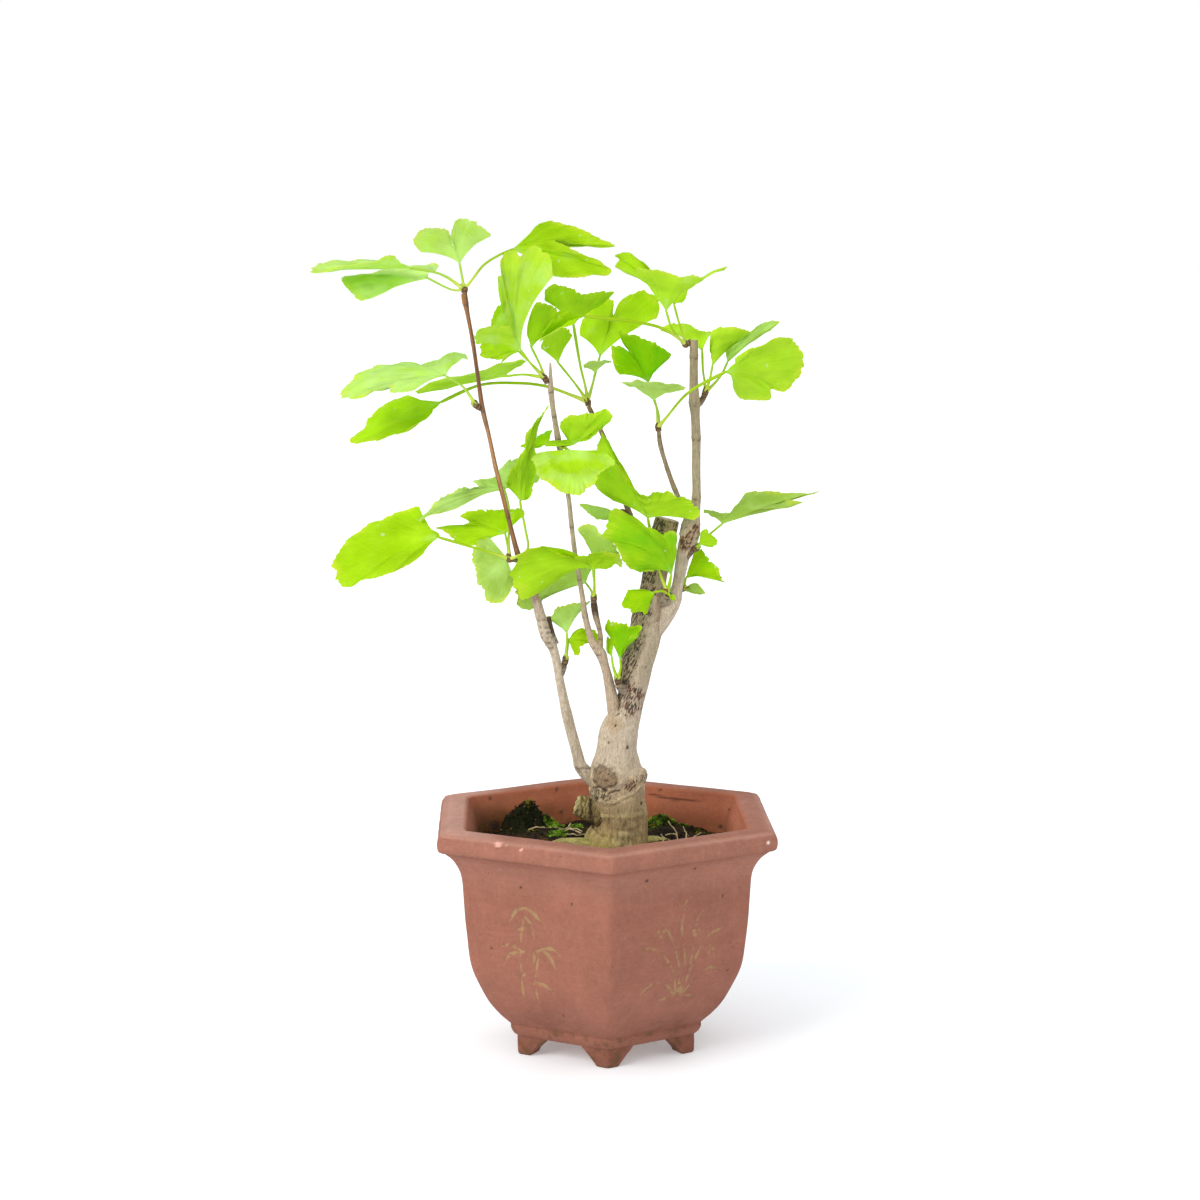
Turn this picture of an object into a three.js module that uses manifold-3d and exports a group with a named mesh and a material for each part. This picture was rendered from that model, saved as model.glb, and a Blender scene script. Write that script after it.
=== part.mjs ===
// Ginkgo bonsai in a hexagonal pot of unglazed red clay.
// Millimetres, +Z up. The plan is drawn on the pot's axis, with the foot undersides at z = 0.
import * as THREE from "three";
import { mergeVertices } from "three/addons/utils/BufferGeometryUtils.js";
import Module from "manifold-3d";

const wasm = await Module();
wasm.setup();

// ---------------------------------------------------------------- driving dimensions
const lipFlats = 165.2; // across the flats at the widest of the lip
const lipTop = 117.4;
const lipCrease = 113.8;
const flareStart = 97.3; // where the wall leaves the body and flares to the lip
const footHeight = 9.6;
const footRadius = 50.2; // pot axis to the outer edge of a foot
const wallInside = 63.2; // pot axis to the inner wall, at soil height
const floorThickness = 8.4;
const drainRadius = 6.5;
const meshRadius = 14;
const meshThickness = 1;
const cornerRound = 4;
const potTurn = THREE.MathUtils.degToRad(1.8); // the front corner's angle from -Y
const potAxisX = 16.4; // the pot's axis from the middle of the whole plant's width
const soilEdge = 97.5;
const soilCrown = 101.4;
const clod = { x: -40, y: 36, z: 100.5, halfWidth: 13, halfDepth: 9, height: 10.5 };
const clearance = 0.3;
const bladeThickness = 0.7;
const stalkRadius = 0.62;
const spurBud = 1.7; // radius of the green bud that a bunch of stalks grows from

const green = 0x9fd02a;
const paleGreen = 0xb4d25a;
const deepGreen = 0x86bd1e;
const bark = 0x8d7c66;
const clay = 0x9c5a45;
const earth = 0x4b3a2c;
const blackPlastic = 0x22221f;

// ---------------------------------------------------------------- solids
function solidOf(points, faces) {
  const geometry = new THREE.BufferGeometry();
  geometry.setAttribute("position", new THREE.Float32BufferAttribute(points.flat(), 3));
  geometry.setIndex(faces.flat());
  const merged = mergeVertices(geometry, 1e-4);
  const triVerts = new Uint32Array(merged.index.array);
  const vertProperties = merged.attributes.position.array;
  if (signedVolume(vertProperties, triVerts) < 0) turnFaces(triVerts);
  return new wasm.Manifold(new wasm.Mesh({ numProp: 3, vertProperties, triVerts }));
}

function signedVolume(positions, triVerts) {
  const corner = [new THREE.Vector3(), new THREE.Vector3(), new THREE.Vector3()];
  let sum = 0;
  for (let i = 0; i < triVerts.length; i += 3) {
    corner.forEach((p, k) => p.fromArray(positions, 3 * triVerts[i + k]));
    sum += corner[0].dot(corner[1].cross(corner[2]));
  }
  return sum / 6;
}

function turnFaces(triVerts) {
  for (let i = 0; i < triVerts.length; i += 3) {
    const held = triVerts[i + 1];
    triVerts[i + 1] = triVerts[i + 2];
    triVerts[i + 2] = held;
  }
}

function meshOf(name, solid, color, roughness) {
  const data = solid.getMesh();
  const geometry = new THREE.BufferGeometry();
  geometry.setAttribute("position", new THREE.Float32BufferAttribute(data.vertProperties, 3));
  geometry.setIndex(new THREE.Uint32BufferAttribute(data.triVerts, 1));
  geometry.computeVertexNormals();
  const material = new THREE.MeshStandardMaterial({ color, roughness, metalness: 0 });
  const mesh = new THREE.Mesh(geometry, material);
  mesh.name = name;
  return mesh;
}

const joined = (solids) => solids.reduce((whole, piece) => whole.add(piece));

// Faces between rings of equal length; the last ring meets the first if the loft is cyclic,
// and otherwise both ends are closed with a fan round a middle point.
function loft(rings, cyclic) {
  const points = rings.flat();
  const sides = rings[0].length;
  const faces = [];
  const spans = cyclic ? rings.length : rings.length - 1;
  for (let r = 0; r < spans; r++) {
    const next = ((r + 1) % rings.length) * sides;
    for (let i = 0; i < sides; i++) {
      const j = (i + 1) % sides;
      faces.push([r * sides + i, r * sides + j, next + j]);
      faces.push([r * sides + i, next + j, next + i]);
    }
  }
  if (!cyclic) {
    fan(points, faces, rings[0], 0, true);
    fan(points, faces, rings.at(-1), (rings.length - 1) * sides, false);
  }
  return solidOf(points, faces);
}

function fan(points, faces, ring, first, turned) {
  const middle = [0, 1, 2].map((k) => ring.reduce((sum, p) => sum + p[k], 0) / ring.length);
  points.push(middle);
  for (let i = 0; i < ring.length; i++) {
    const j = (i + 1) % ring.length;
    const pair = turned ? [first + j, first + i] : [first + i, first + j];
    faces.push([...pair, points.length - 1]);
  }
}

// ---------------------------------------------------------------- pot
const CORNERS = 6;
const cornerAngle = (k) => -Math.PI / 2 + (k * Math.PI) / 3 + potTurn;

// One level of the pot: a hexagon with rounded corners, `apothem` from the axis to its flats.
function hexRing(apothem, z, round = cornerRound) {
  const ring = [];
  const reach = (apothem - round) / Math.cos(Math.PI / 6);
  for (let k = 0; k < CORNERS; k++) {
    for (const step of [-3, -1, 1, 3]) {
      const a = cornerAngle(k) + (step * Math.PI) / 18;
      const x = reach * Math.cos(cornerAngle(k)) + round * Math.cos(a);
      const y = reach * Math.sin(cornerAngle(k)) + round * Math.sin(a);
      ring.push([x, y, z]);
    }
  }
  return ring;
}

// [apothem, z] up the outside, over the lip and down the inside to the drainage hole
const lipApothem = lipFlats / 2;
const potOutside = [
  [44, footHeight],
  [45.9, 11.2],
  [47.4, 14.4],
  [47.2, 16],
  [52.4, 21.6],
  [57.2, 28],
  [62.3, 38],
  [66.3, 48.5],
  [68.5, 64.6],
  [69.8, 78.6],
  [70.8, 93],
  [71.9, flareStart],
  [75.2, 103.4],
  [81.3, 108.9],
  [lipApothem, 111.2],
  [lipApothem, lipCrease],
  [80.6, 116.2],
  [76, lipTop + 0.3],
  [70.4, lipTop],
];
const floorTop = footHeight + floorThickness;
const potInside = [
  [68.7, lipTop - 0.8],
  [67.6, lipTop - 4],
  [65.2, 108],
  [wallInside, flareStart],
  [61.6, 72],
  [58.4, 48],
  [52, 34],
  [43, 24],
  [34, floorTop + 1.2],
  [22, floorTop],
];

function potBody() {
  const rings = [];
  for (const [apothem, z] of potOutside) rings.push(hexRing(apothem, z));
  for (const [apothem, z] of potInside) rings.push(hexRing(apothem, z, cornerRound + 3));
  rings.push(hexRing(drainRadius + 0.6, floorTop, drainRadius));
  rings.push(hexRing(drainRadius + 0.3, floorTop - 1, drainRadius));
  rings.push(hexRing(drainRadius + 0.3, footHeight, drainRadius));
  return loft(rings, true);
}

// A bracket foot folded round a corner, wide under the band and narrow on the ground.
function foot(k) {
  const rings = [];
  for (const [z, arm, out] of [
    [0, 5.8, -1],
    [1.4, 7.4, 0],
    [5.2, 11, 0.3],
    [footHeight - 0.6, 14.8, 0.3],
    [footHeight + 0.9, 15.6, 0.3],
  ]) {
    rings.push(bracket(k, footRadius + out, arm, z));
  }
  return loft(rings, false);
}

function bracket(k, radius, arm, z) {
  const depth = 9;
  const along = Math.cos(Math.PI / 3);
  const across = Math.sin(Math.PI / 3);
  const plan = [
    [0, 0],
    [-arm * along, arm * across],
    [-arm * along - depth * across, arm * across - depth * along],
    [-depth / across, 0],
    [-arm * along - depth * across, depth * along - arm * across],
    [-arm * along, -arm * across],
  ];
  const turn = cornerAngle(k);
  const c = Math.cos(turn);
  const s = Math.sin(turn);
  return plan.map(([u, v]) => [c * (radius + u) - s * v, s * (radius + u) + c * v, z]);
}

function pot() {
  const feet = [0, 1, 2, 3, 4, 5].map(foot);
  return joined([potBody(), ...feet]);
}

// ---------------------------------------------------------------- drainage mesh
// A plastic sheet over the hole, with slots cut through it.
function drainageMesh() {
  const low = floorTop + clearance;
  const sheet = loft([disc(meshRadius, low), disc(meshRadius, low + meshThickness)], false);
  return slots(low).reduce((cut, slot) => cut.subtract(slot), sheet);
}

function disc(radius, z) {
  const ring = [];
  for (let i = 0; i < 24; i++) {
    const a = (i * Math.PI) / 12;
    ring.push([radius * Math.cos(a), radius * Math.sin(a), z]);
  }
  return ring;
}

function slots(low) {
  const pitch = 4;
  const cuts = [];
  for (const column of [-1, 0, 1]) {
    for (const row of [-1, 0, 1]) {
      const box = new THREE.BoxGeometry(2, 4.4, 3 * meshThickness);
      box.translate(column * pitch, row * 6.4, low);
      cuts.push(solidOfGeometry(box));
    }
  }
  return cuts;
}

function solidOfGeometry(geometry) {
  geometry.deleteAttribute("normal");
  geometry.deleteAttribute("uv");
  const merged = mergeVertices(geometry, 1e-4);
  const triVerts = new Uint32Array(merged.index.array);
  return new wasm.Manifold(
    new wasm.Mesh({ numProp: 3, vertProperties: merged.attributes.position.array, triVerts }),
  );
}

// ---------------------------------------------------------------- wood
// Each limb is a row of [x, y, z, radius].
const trunkPath = [
  [7, 0, 66, 8],
  [6.8, 0, 82, 12.5],
  [6.6, 0, 95, 15.6],
  [6.5, 0, 100, 16],
  [7.8, 0, 102.5, 14.8],
  [8.5, 0, 106, 13.6],
  [8.1, 0, 115.5, 13.1],
  [7, 0, 120.4, 13],
  [6.2, 0, 124.7, 13.6],
  [6, 0, 130.5, 13.9],
  [6.1, 0, 136.5, 14.4],
  [6, 0, 140.6, 12.8],
  [6.2, 0, 144.6, 11.4],
  [6.4, 0, 149.3, 10.2],
  [7.6, 0, 157.4, 9.7],
  [10.4, 0, 166, 8],
  [12.9, 0, 174.7, 6.8],
  [14.5, 0, 182.8, 7.1],
  [15.8, 0, 191.3, 7.7],
  [17.9, 0, 199.4, 8.1],
  [20.4, 0.5, 208, 8],
  [22, 1, 217, 7.8],
  [23.4, 1.6, 224.6, 6.9],
  [24.2, 2, 230.4, 6.3],
  [25.4, 2, 239.8, 6.3],
  [27, 2, 248, 6.6],
  [28.9, 2, 255.6, 6.5],
  [31.1, 2, 264.5, 6.2],
];
const rightBranchPath = [
  [24, 0, 208, 4.5],
  [29.4, 0, 216.5, 5],
  [34.1, 0, 224.5, 4.2],
  [35.9, 0, 230.4, 3],
  [38, -0.5, 242.8, 3.2],
  [39.9, -1, 252.2, 3.7],
  [41.6, -1, 255.6, 4.9],
  [42.4, -1.3, 260, 4.8],
  [43, -1.5, 264, 4.3],
  [44.2, -1.8, 269, 3.1],
  [45.2, -2, 275, 2.3],
  [45, -2.5, 290, 2.2],
  [44.9, -3, 304.6, 2.25],
  [44.5, -3, 316, 2.3],
  [44.1, -3, 322.4, 2.7],
  [43.6, -3, 333.2, 2.2],
  [43.6, -3, 353, 2.1],
];
const leftBranchPath = [
  [-2.3, -1, 131, 4],
  [-7.6, -2, 136, 3.8],
  [-11.3, -2.6, 140.2, 3.2],
  [-14.1, -3.6, 149.6, 2.9],
  [-18.4, -5, 166.5, 2.75],
  [-21.9, -6.8, 183.3, 2.25],
  [-24.9, -8.4, 200, 2.25],
  [-28.9, -9.2, 208.6, 2.7],
  [-31.2, -10, 216.6, 2.5],
  [-33.5, -10.8, 225, 2.4],
  [-38.1, -12, 236.6, 2],
  [-42.2, -13.2, 247.8, 1.5],
  [-46.9, -14.8, 266.6, 1.25],
  [-52.9, -17.2, 291.4, 1.2],
  [-56.1, -19, 307.6, 1.2],
  [-58.9, -20.4, 320, 1.3],
  [-61.2, -22, 336.6, 1.2],
  [-63.4, -23.2, 352.7, 1.2],
  [-65.8, -24.4, 366.4, 1.25],
  [-67.1, -25, 373.8, 1.7],
  [-67.3, -25, 375.9, 1.5],
];
const middleBranchPath = [
  [8.4, -1, 158.5, 3],
  [6.4, -1.6, 162.5, 3],
  [4.5, -2, 167, 2.9],
  [3.1, -3, 174.7, 2.5],
  [2, -4, 182.8, 2.4],
  [0.4, -5.6, 191.3, 2.25],
  [-2.3, -7.2, 199.4, 2.6],
  [-6.1, -7.4, 205, 1.9],
  [-9.7, -7, 217.6, 1.5],
  [-10.6, -6.4, 224.5, 1.35],
  [-12.5, -5.6, 236.3, 1.15],
  [-14.7, -4.6, 249.2, 1.15],
  [-16.2, -3.6, 261.5, 1.2],
  [-17.6, -2.8, 274.4, 1.2],
  [-20.6, -2, 292, 1.25],
  [-23, -1.2, 305.1, 1.5],
  [-25.1, 0.8, 317.5, 1.25],
  [-26.3, 2.4, 327.8, 1.4],
  [-26.7, 4.6, 341.5, 0.4],
];
const middleForkPath = [
  [-2.3, -7.2, 198, 1.8],
  [-2, -8, 208, 1.15],
  [-4.4, -8.2, 218, 1.5],
  [-5.3, -8, 224.2, 1.6],
];
const backBranchPath = [
  [24, 4, 238, 2.6],
  [21, 9, 247, 2],
  [18.6, 11, 251.4, 1.7],
  [12.6, 15, 265.6, 1.5],
  [6.7, 18.6, 283.2, 1.4],
  [-0.4, 20.6, 303.6, 1.2],
  [-8, 22, 319.2, 1.1],
];
const backTwigPath = [
  [43, -1, 260.5, 1.8],
  [39.6, 1.6, 268.6, 1.3],
  [34.7, 2.8, 279.3, 1.2],
  [31.2, 3, 288.8, 1.1],
  [27.4, 3, 301.7, 1.1],
  [26.7, 3, 308, 1],
];
const spurPaths = [
  [[-24.4, -8.2, 203.6, 1.8], [-25.9, -8.6, 207.4, 1.7], [-27.8, -9, 217.4, 1.3]],
  [[-22.8, -7.2, 186.6, 1.8], [-21.3, -7.1, 189.8, 1.7], [-20.2, -7, 192.6, 1.6]],
  [[11.4, -3.4, 178.6, 2.6], [8.2, -6.4, 181.6, 2.1], [6.8, -7.6, 183.4, 1.7]],
  [[30, -1, 222.6, 3.4], [30.6, -4.4, 226, 2.7], [31, -6.4, 227.8, 2.1]],
  [[37.8, -0.4, 243.4, 2.4], [41, -1.2, 247.4, 1.9], [43, -1.6, 249, 1.5]],
  [[44, -2.8, 320.6, 1.9], [46.8, -1.8, 322.6, 1.6], [48.6, -1, 324.8, 1.3]],
  [[-41.4, -13.1, 246, 1.4], [-43.8, -14.2, 246.4, 1.4], [-44.6, -14.5, 246.6, 1.2]],
  [[-2, -3, 116.5, 6.4], [-9, -4.6, 120, 5.9], [-13, -5.2, 121.4, 5.2], [-14.4, -5.4, 122, 3.8]],
];
const rootPaths = [
  [[2, -4, 99, 4], [-7, -5.4, 101.4, 2.4], [-15, -4.6, 102, 1.8], [-23, -2, 101.2, 1.5],
    [-30, 1, 98.6, 1.1]],
  [[10, -6, 97, 4.6], [18, -12, 100.2, 3], [25, -16, 100.6, 2.2], [33, -18, 98.4, 1.4]],
  [[14, 4, 97, 4.6], [24, 8, 100.4, 2.8], [33, 11, 98.6, 1.6]],
  [[2, 8, 97, 4.4], [-5, 15, 100.6, 2.8], [-12, 21, 99, 1.7]],
];

// A limb of round section, its ends flat, with `grain` as the share by which ridges and burls
// lift its surface.
function limb(path, sides, grain, extra) {
  const centres = path.map(([x, y, z]) => new THREE.Vector3(x, y, z));
  const side = new THREE.Vector3(1, 0, 0);
  const rings = centres.map((centre, i) => {
    const along = centres[Math.min(i + 1, centres.length - 1)].clone();
    along.sub(centres[Math.max(i - 1, 0)]).normalize();
    side.addScaledVector(along, -side.dot(along)).normalize();
    const other = along.clone().cross(side);
    return ringAround(centre, side, other, path[i][3] + extra, sides, grain);
  });
  return loft(rings, false);
}

function ringAround(centre, side, other, radius, sides, grain) {
  const ring = [];
  for (let i = 0; i < sides; i++) {
    const a = (2 * Math.PI * i) / sides;
    const swell = Math.sin(3 * a + centre.z / 9) + 0.6 * Math.sin(5 * a - centre.z / 5);
    const r = radius * (1 + grain * swell);
    const p = centre.clone();
    p.addScaledVector(side, r * Math.cos(a)).addScaledVector(other, r * Math.sin(a));
    ring.push(p.toArray());
  }
  return ring;
}

function wood(extra = 0) {
  const limbs = [
    limb(trunkPath, 16, 0.035, extra),
    limb(rightBranchPath, 9, 0.03, extra),
    limb(leftBranchPath, 7, 0.02, extra),
    limb(middleBranchPath, 7, 0.02, extra),
    limb(middleForkPath, 6, 0, extra),
    limb(backBranchPath, 6, 0, extra),
    limb(backTwigPath, 6, 0, extra),
  ];
  for (const path of spurPaths) limbs.push(limb(path, 7, 0.02, extra));
  for (const path of rootPaths) limbs.push(limb(path, 7, 0.03, extra));
  return joined(limbs);
}

// ---------------------------------------------------------------- soil
function soilTop(x, y) {
  const reach = Math.hypot(x - 7, y) / 60;
  const mound = 3.4 * Math.exp(-((x + 34) ** 2 + (y - 22) ** 2) / 500);
  const grains = 0.5 * Math.sin(x / 5 + 1) * Math.cos(y / 6) + 0.35 * Math.sin((x - y) / 3.4);
  const crown = (soilCrown - soilEdge) * Math.max(0, 1 - reach);
  return soilEdge + crown + mound + grains;
}

function soilRing(share, apothem) {
  const ring = hexRing(apothem * share, 0, Math.min(cornerRound + 3, 0.5 * apothem * share));
  return ring.map(([x, y]) => [x, y, soilTop(x, y)]);
}

// A clod that leans on the back of the bed.
function lump() {
  const ball = new THREE.SphereGeometry(1, 14, 9);
  ball.rotateX(Math.PI / 2);
  ball.scale(clod.halfWidth, clod.halfDepth, clod.height);
  ball.translate(clod.x, clod.y, clod.z);
  return solidOfGeometry(ball);
}

function soil() {
  const wall = wallInside - clearance - 0.1;
  const rings = [];
  for (const [apothem, z] of potInside.slice(4).reverse()) {
    const inside = apothem - clearance - 0.25;
    rings.push(hexRing(inside, z + clearance, Math.min(cornerRound + 3, inside / 2)));
  }
  for (const share of [1, 0.82, 0.62, 0.42, 0.22]) rings.push(soilRing(share, wall));
  const body = loft(rings, false).add(lump());
  const bed = loft([disc(meshRadius + clearance, floorTop), disc(meshRadius + clearance,
    floorTop + meshThickness + 2 * clearance)], false);
  return body.subtract(bed).subtract(wood(clearance));
}

// ---------------------------------------------------------------- leaves
// A ginkgo leaf is a fan: every vein runs from the blade's base to its outer margin and first
// follows the stalk. `rim` holds the margin's points from one side to the other, `cuts` the
// numbers of those that are sharp, and `follow` how long the veins keep the stalk's direction.
// A bunch is drawn near the trunk's own plane and then moved to its `place` on the branch.
const sprays = [
  {
    name: "spray_left_tip",
    place: [0.7, -13, 0],
    color: green,
    bud: [-68, -12, 378],
    leaves: [
      { stalk: [[-79, -12, 385]], base: [-93, -14, 388], follow: 0.2, cuts: [],
        rim: [[-99, -44, 393], [-117, -40, 391], [-140, -20, 386], [-135, 6, 390], [-114, 18, 392]] },
      { stalk: [[-73, -12, 377.5]], base: [-85, -12, 383], follow: 0.3, cuts: [],
        rim: [[-81, 14, 389], [-100, 24, 388], [-125, 14, 383], [-126, -8, 381],
          [-118, -22, 371]] },
      { stalk: [[-69, -12, 384]], base: [-70, -13, 390], follow: 0.4, cuts: [3],
        rim: [[-90, -20, 396], [-90, -22, 404], [-77, -22, 407.5], [-74.5, -19, 403],
          [-71, -20, 410], [-61, -15, 409.5], [-54, -9, 405]] },
      { stalk: [[-64.4, -11, 382.2], [-58.9, -6, 389.3], [-51.8, -1, 394]],
        base: [-45.4, 4, 396.8], follow: 0.3, cuts: [3],
        rim: [[-31, 10, 411], [-16, 18, 408], [3, 22, 398], [-28, 10, 402], [-6, 6, 392],
          [3, 8, 386], [-12, 4, 383], [-24, 2, 383]] },
    ],
  },
  {
    name: "spray_left_middle",
    place: [0.5, -10, 0.5],
    color: green,
    bud: [-62.8, -12.2, 322],
    leaves: [
      { stalk: [[-68.9, -13, 330.8]], base: [-77, -14, 336], follow: 0.3, cuts: [7],
        rim: [[-66, 8, 345], [-73, 16, 347], [-90, 22, 340], [-104, 18, 341], [-121, 6, 336],
          [-129, -8, 326], [-116, -20, 327], [-105, -16, 332], [-102, -28, 329], [-92, -33, 330]] },
    ],
  },
  {
    name: "spray_middle_tip",
    place: [0.1, 3.6, -0.2],
    color: green,
    bud: [-29.8, -0.6, 334.6],
    leaves: [
      { stalk: [[-40, 0, 336]], base: [-49, 2, 335], follow: 0.3, cuts: [],
        rim: [[-38, 22, 342], [-50, 34, 341], [-66, 36, 335], [-84, 28, 331], [-95, 12, 325]] },
      { stalk: [[-35.5, -3, 340.5]], base: [-41, -4, 348], follow: 0.45, cuts: [3, 7],
        rim: [[-65, -6, 351], [-62, -10, 356], [-56.5, -12, 358], [-45.5, -10, 359],
          [-49, -16, 386], [-48, -18, 395], [-44.5, -18, 397], [-41, -18, 392.5],
          [-35, -20, 397.5], [-27, -22, 394], [-24, -22, 386]] },
      { stalk: [[-36, 1, 341]], base: [-42, 2, 347], follow: 0.3, cuts: [1],
        rim: [[-54, -2, 339], [-49, 0, 345.5], [-54, 2, 344], [-59, 2, 344], [-60, 2, 349],
          [-57, 2, 358], [-54, 4, 366], [-49, 8, 377], [-53, 10, 383], [-45, 14, 386]] },
      { stalk: [[-31.5, 0, 340]], base: [-36, 2, 349], follow: 0.3, cuts: [],
        rim: [[-39, -2, 360], [-34, -2, 371.5], [-29, 2, 371], [-24, 6, 368], [-24, 10, 358]] },
    ],
  },
  {
    name: "spray_back_tip",
    place: [-0.4, 14, -0.8],
    color: green,
    bud: [-8, 8, 322.2],
    leaves: [
      { stalk: [[-15, 8, 325], [-29, 6, 330], [-44, -2, 332], [-61, -2, 331]],
        base: [-80, -6, 323], follow: 0.3, cuts: [],
        rim: [[-88, -16, 315], [-97, -18, 309], [-113, -14, 303.5], [-124, -8, 303],
          [-119, 2, 312], [-111, 8, 319], [-102, 12, 326]] },
      { stalk: [[-9, 7, 329], [-11.6, 5, 340]], base: [-15, 2, 360.5], follow: 0.35, cuts: [],
        rim: [[-31, -2, 374], [-27.5, -4, 379.5], [-21, -6, 381], [-12, -4, 377],
          [-2.3, 0, 376.5], [4.5, 4, 375.5], [-0.3, 8, 370]] },
      { stalk: [[-14, 4, 331]], base: [-22.5, -2, 342], follow: 0.3, cuts: [],
        rim: [[-33, -8, 351], [-28, -8, 357], [-23, -6, 360], [-18, -2, 359], [-13.5, 2, 357]] },
      { stalk: [[-5, 7, 333]], base: [-2, 6, 344.6], follow: 0.35, cuts: [4],
        rim: [[-13, 16, 356], [-9, 18, 364], [-1.5, 16, 372], [4.5, 14, 373.5],
          [5, 12, 365.5], [8.5, 14, 372], [20.5, 16, 377], [27, 12, 370.5], [28.5, 8, 365]] },
      { stalk: [[-6, 5, 329]], base: [-4.3, 1, 337], follow: 0.4, cuts: [],
        rim: [[-11, -6, 341], [-6, -22, 343], [-2, -26, 344], [2, -18, 344], [4, -4, 344]] },
    ],
  },
  {
    name: "spray_back_twig",
    place: [0, 0, 0],
    color: green,
    bud: [26.5, 3, 310.2],
    leaves: [
      { stalk: [[25.5, 2, 320]], base: [21.5, 0, 332], follow: 0.4, cuts: [3],
        rim: [[4.8, -8, 337], [4.3, -10, 349.5], [7.8, -9, 350], [12.4, -5, 347], [6.3, -6, 357],
          [17.3, -2, 354], [30, 2, 347.5], [32.5, 3, 344.5], [29.5, 2, 342]] },
      { stalk: [[26.4, 1, 317]], base: [24.2, -1, 323.4], follow: 0.35, cuts: [],
        rim: [[7, -10, 333], [15, -34, 334], [23, -40, 334], [32.5, -34, 332.5],
          [40.5, -12, 330]] },
      { stalk: [[30, -3, 314.8], [41, -9, 327.8]], base: [58.5, -12, 337.7], follow: 0.35,
        cuts: [],
        rim: [[64.5, -20, 345], [75, -22, 350.5], [84.5, -20, 354], [92, -16, 353],
          [97.5, -8, 343], [93.5, -2, 334], [89.5, 2, 329], [82, 4, 329], [80.5, 6, 324],
          [68, 8, 324], [64, 8, 328]] },
    ],
  },
  {
    name: "spray_right_tip",
    place: [0, 0, 0],
    color: green,
    bud: [39.4, -3, 351],
    leaves: [
      { stalk: [[36.5, -6, 353.5], [27.6, -12, 359], [15.9, -18, 362]], base: [-9.6, -22, 365],
        follow: 0.3, cuts: [],
        rim: [[-22.5, -26, 369], [-25.5, -26, 364], [-29.5, -24, 357], [-32, -22, 352],
          [-25, -30, 358], [-16, -34, 362]] },
      { stalk: [[36.4, -3.4, 354], [33, -4, 358]], base: [30, -4, 367], follow: 0.35, cuts: [],
        rim: [[13.5, -14, 386.7], [20.8, -18, 385.6], [32.7, -20, 385.1], [43.8, -18, 384.1],
          [50.3, -14, 384.1], [57.7, -10, 387.5], [60.2, -8, 388.4]] },
      { stalk: [[38.6, -0.5, 354.5], [36.5, 2, 361]], base: [34, 3, 370], follow: 0.3, cuts: [],
        rim: [[12.4, 10, 386.5], [6, 14, 388], [7.5, 14, 391], [5, 15, 393.6], [8, 15, 395.8],
          [11.5, 14, 396.1], [16.4, 12, 392.4], [22.1, 10, 386], [32, 8, 382], [40, 6, 376.5],
          [40.4, 4, 371.8]] },
    ],
  },
  {
    name: "spray_right_upper",
    place: [0, 0, 0],
    color: green,
    bud: [49.3, 0, 326.8],
    leaves: [
      { stalk: [[49.2, 2.5, 332], [48.4, 4, 337.6]], base: [48, 5, 347.3], follow: 0.3, cuts: [],
        rim: [[25.8, 8, 358.6], [33.8, 16, 359.8], [38.9, 20, 360.2], [46.8, 20, 358.2],
          [54.1, 16, 357.8]] },
      { stalk: [[51.6, -1, 333.8]], base: [52.7, -2, 340.2], follow: 0.3, cuts: [],
        rim: [[50.6, -5, 351.2], [52.4, -9, 358.4], [60.2, -12, 359.9], [66.7, -12, 359.2],
          [72.4, -8, 358.6], [63, -5, 351.6]] },
      { stalk: [[57, 4, 335]], base: [60.3, 4, 341.6], follow: 0.25, cuts: [],
        rim: [[58.6, 5, 348.9], [65.3, 7, 353.2], [73.6, 9, 357.9], [78.7, 10, 361],
          [84.9, 11, 362.3], [87, 11, 362], [82, 9, 357.8], [76.1, 8, 355.4]] },
    ],
  },
  {
    name: "spray_left_lower",
    place: [0.3, -5, 0.6],
    color: green,
    bud: [-46.9, -10, 246.2],
    leaves: [
      { stalk: [[-56, -12.6, 249.6], [-66.3, -14, 252.8]], base: [-80.9, -15, 257.3], follow: 0.3,
        cuts: [3, 14],
        rim: [[-79.9, -14, 260.1], [-85.5, -12, 260.9], [-90.7, -10, 264.1], [-91.4, -8, 271.8],
          [-95.7, -8, 270.8], [-105.2, -10, 268], [-116.6, -14, 262.5], [-126.5, -18, 254.3],
          [-132.1, -22, 243.3], [-129.8, -24, 241.3], [-130.1, -26, 236.2], [-125.2, -28, 234.4],
          [-118.5, -28, 237.6], [-110.3, -28, 239.5], [-102.7, -26, 241.7], [-96.6, -22, 244],
          [-90.2, -19, 247.8]] },
      { stalk: [[-47.8, -7, 252]], base: [-49, -5, 257.6], follow: 0.3, cuts: [6],
        rim: [[-37.9, 2, 267.3], [-40.9, 4, 268.9], [-45.9, 6, 269.1], [-58.8, 6, 268.4],
          [-72.1, 4, 266.1], [-66, 2, 262.5], [-83.2, 0, 260.2], [-78, -4, 258.5],
          [-70.6, -6, 252.9], [-64.8, -6, 251.5]] },
      { stalk: [], base: [-48.4, -9.6, 247], follow: 0, cuts: [],
        rim: [[-58.1, -6, 258.1], [-64.7, -6, 251.2], [-64.7, -5, 244.9], [-63.1, -6, 236.4],
          [-60.2, -7, 230.4], [-56.6, -8, 224.6], [-50.3, -8.6, 226.2], [-43.6, -8, 232.6]] },
      { stalk: [[-47.4, -6, 254], [-47.2, -5, 262], [-47.3, -4, 271]], base: [-49.5, -3, 279.6],
        follow: 0.2, cuts: [3],
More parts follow.
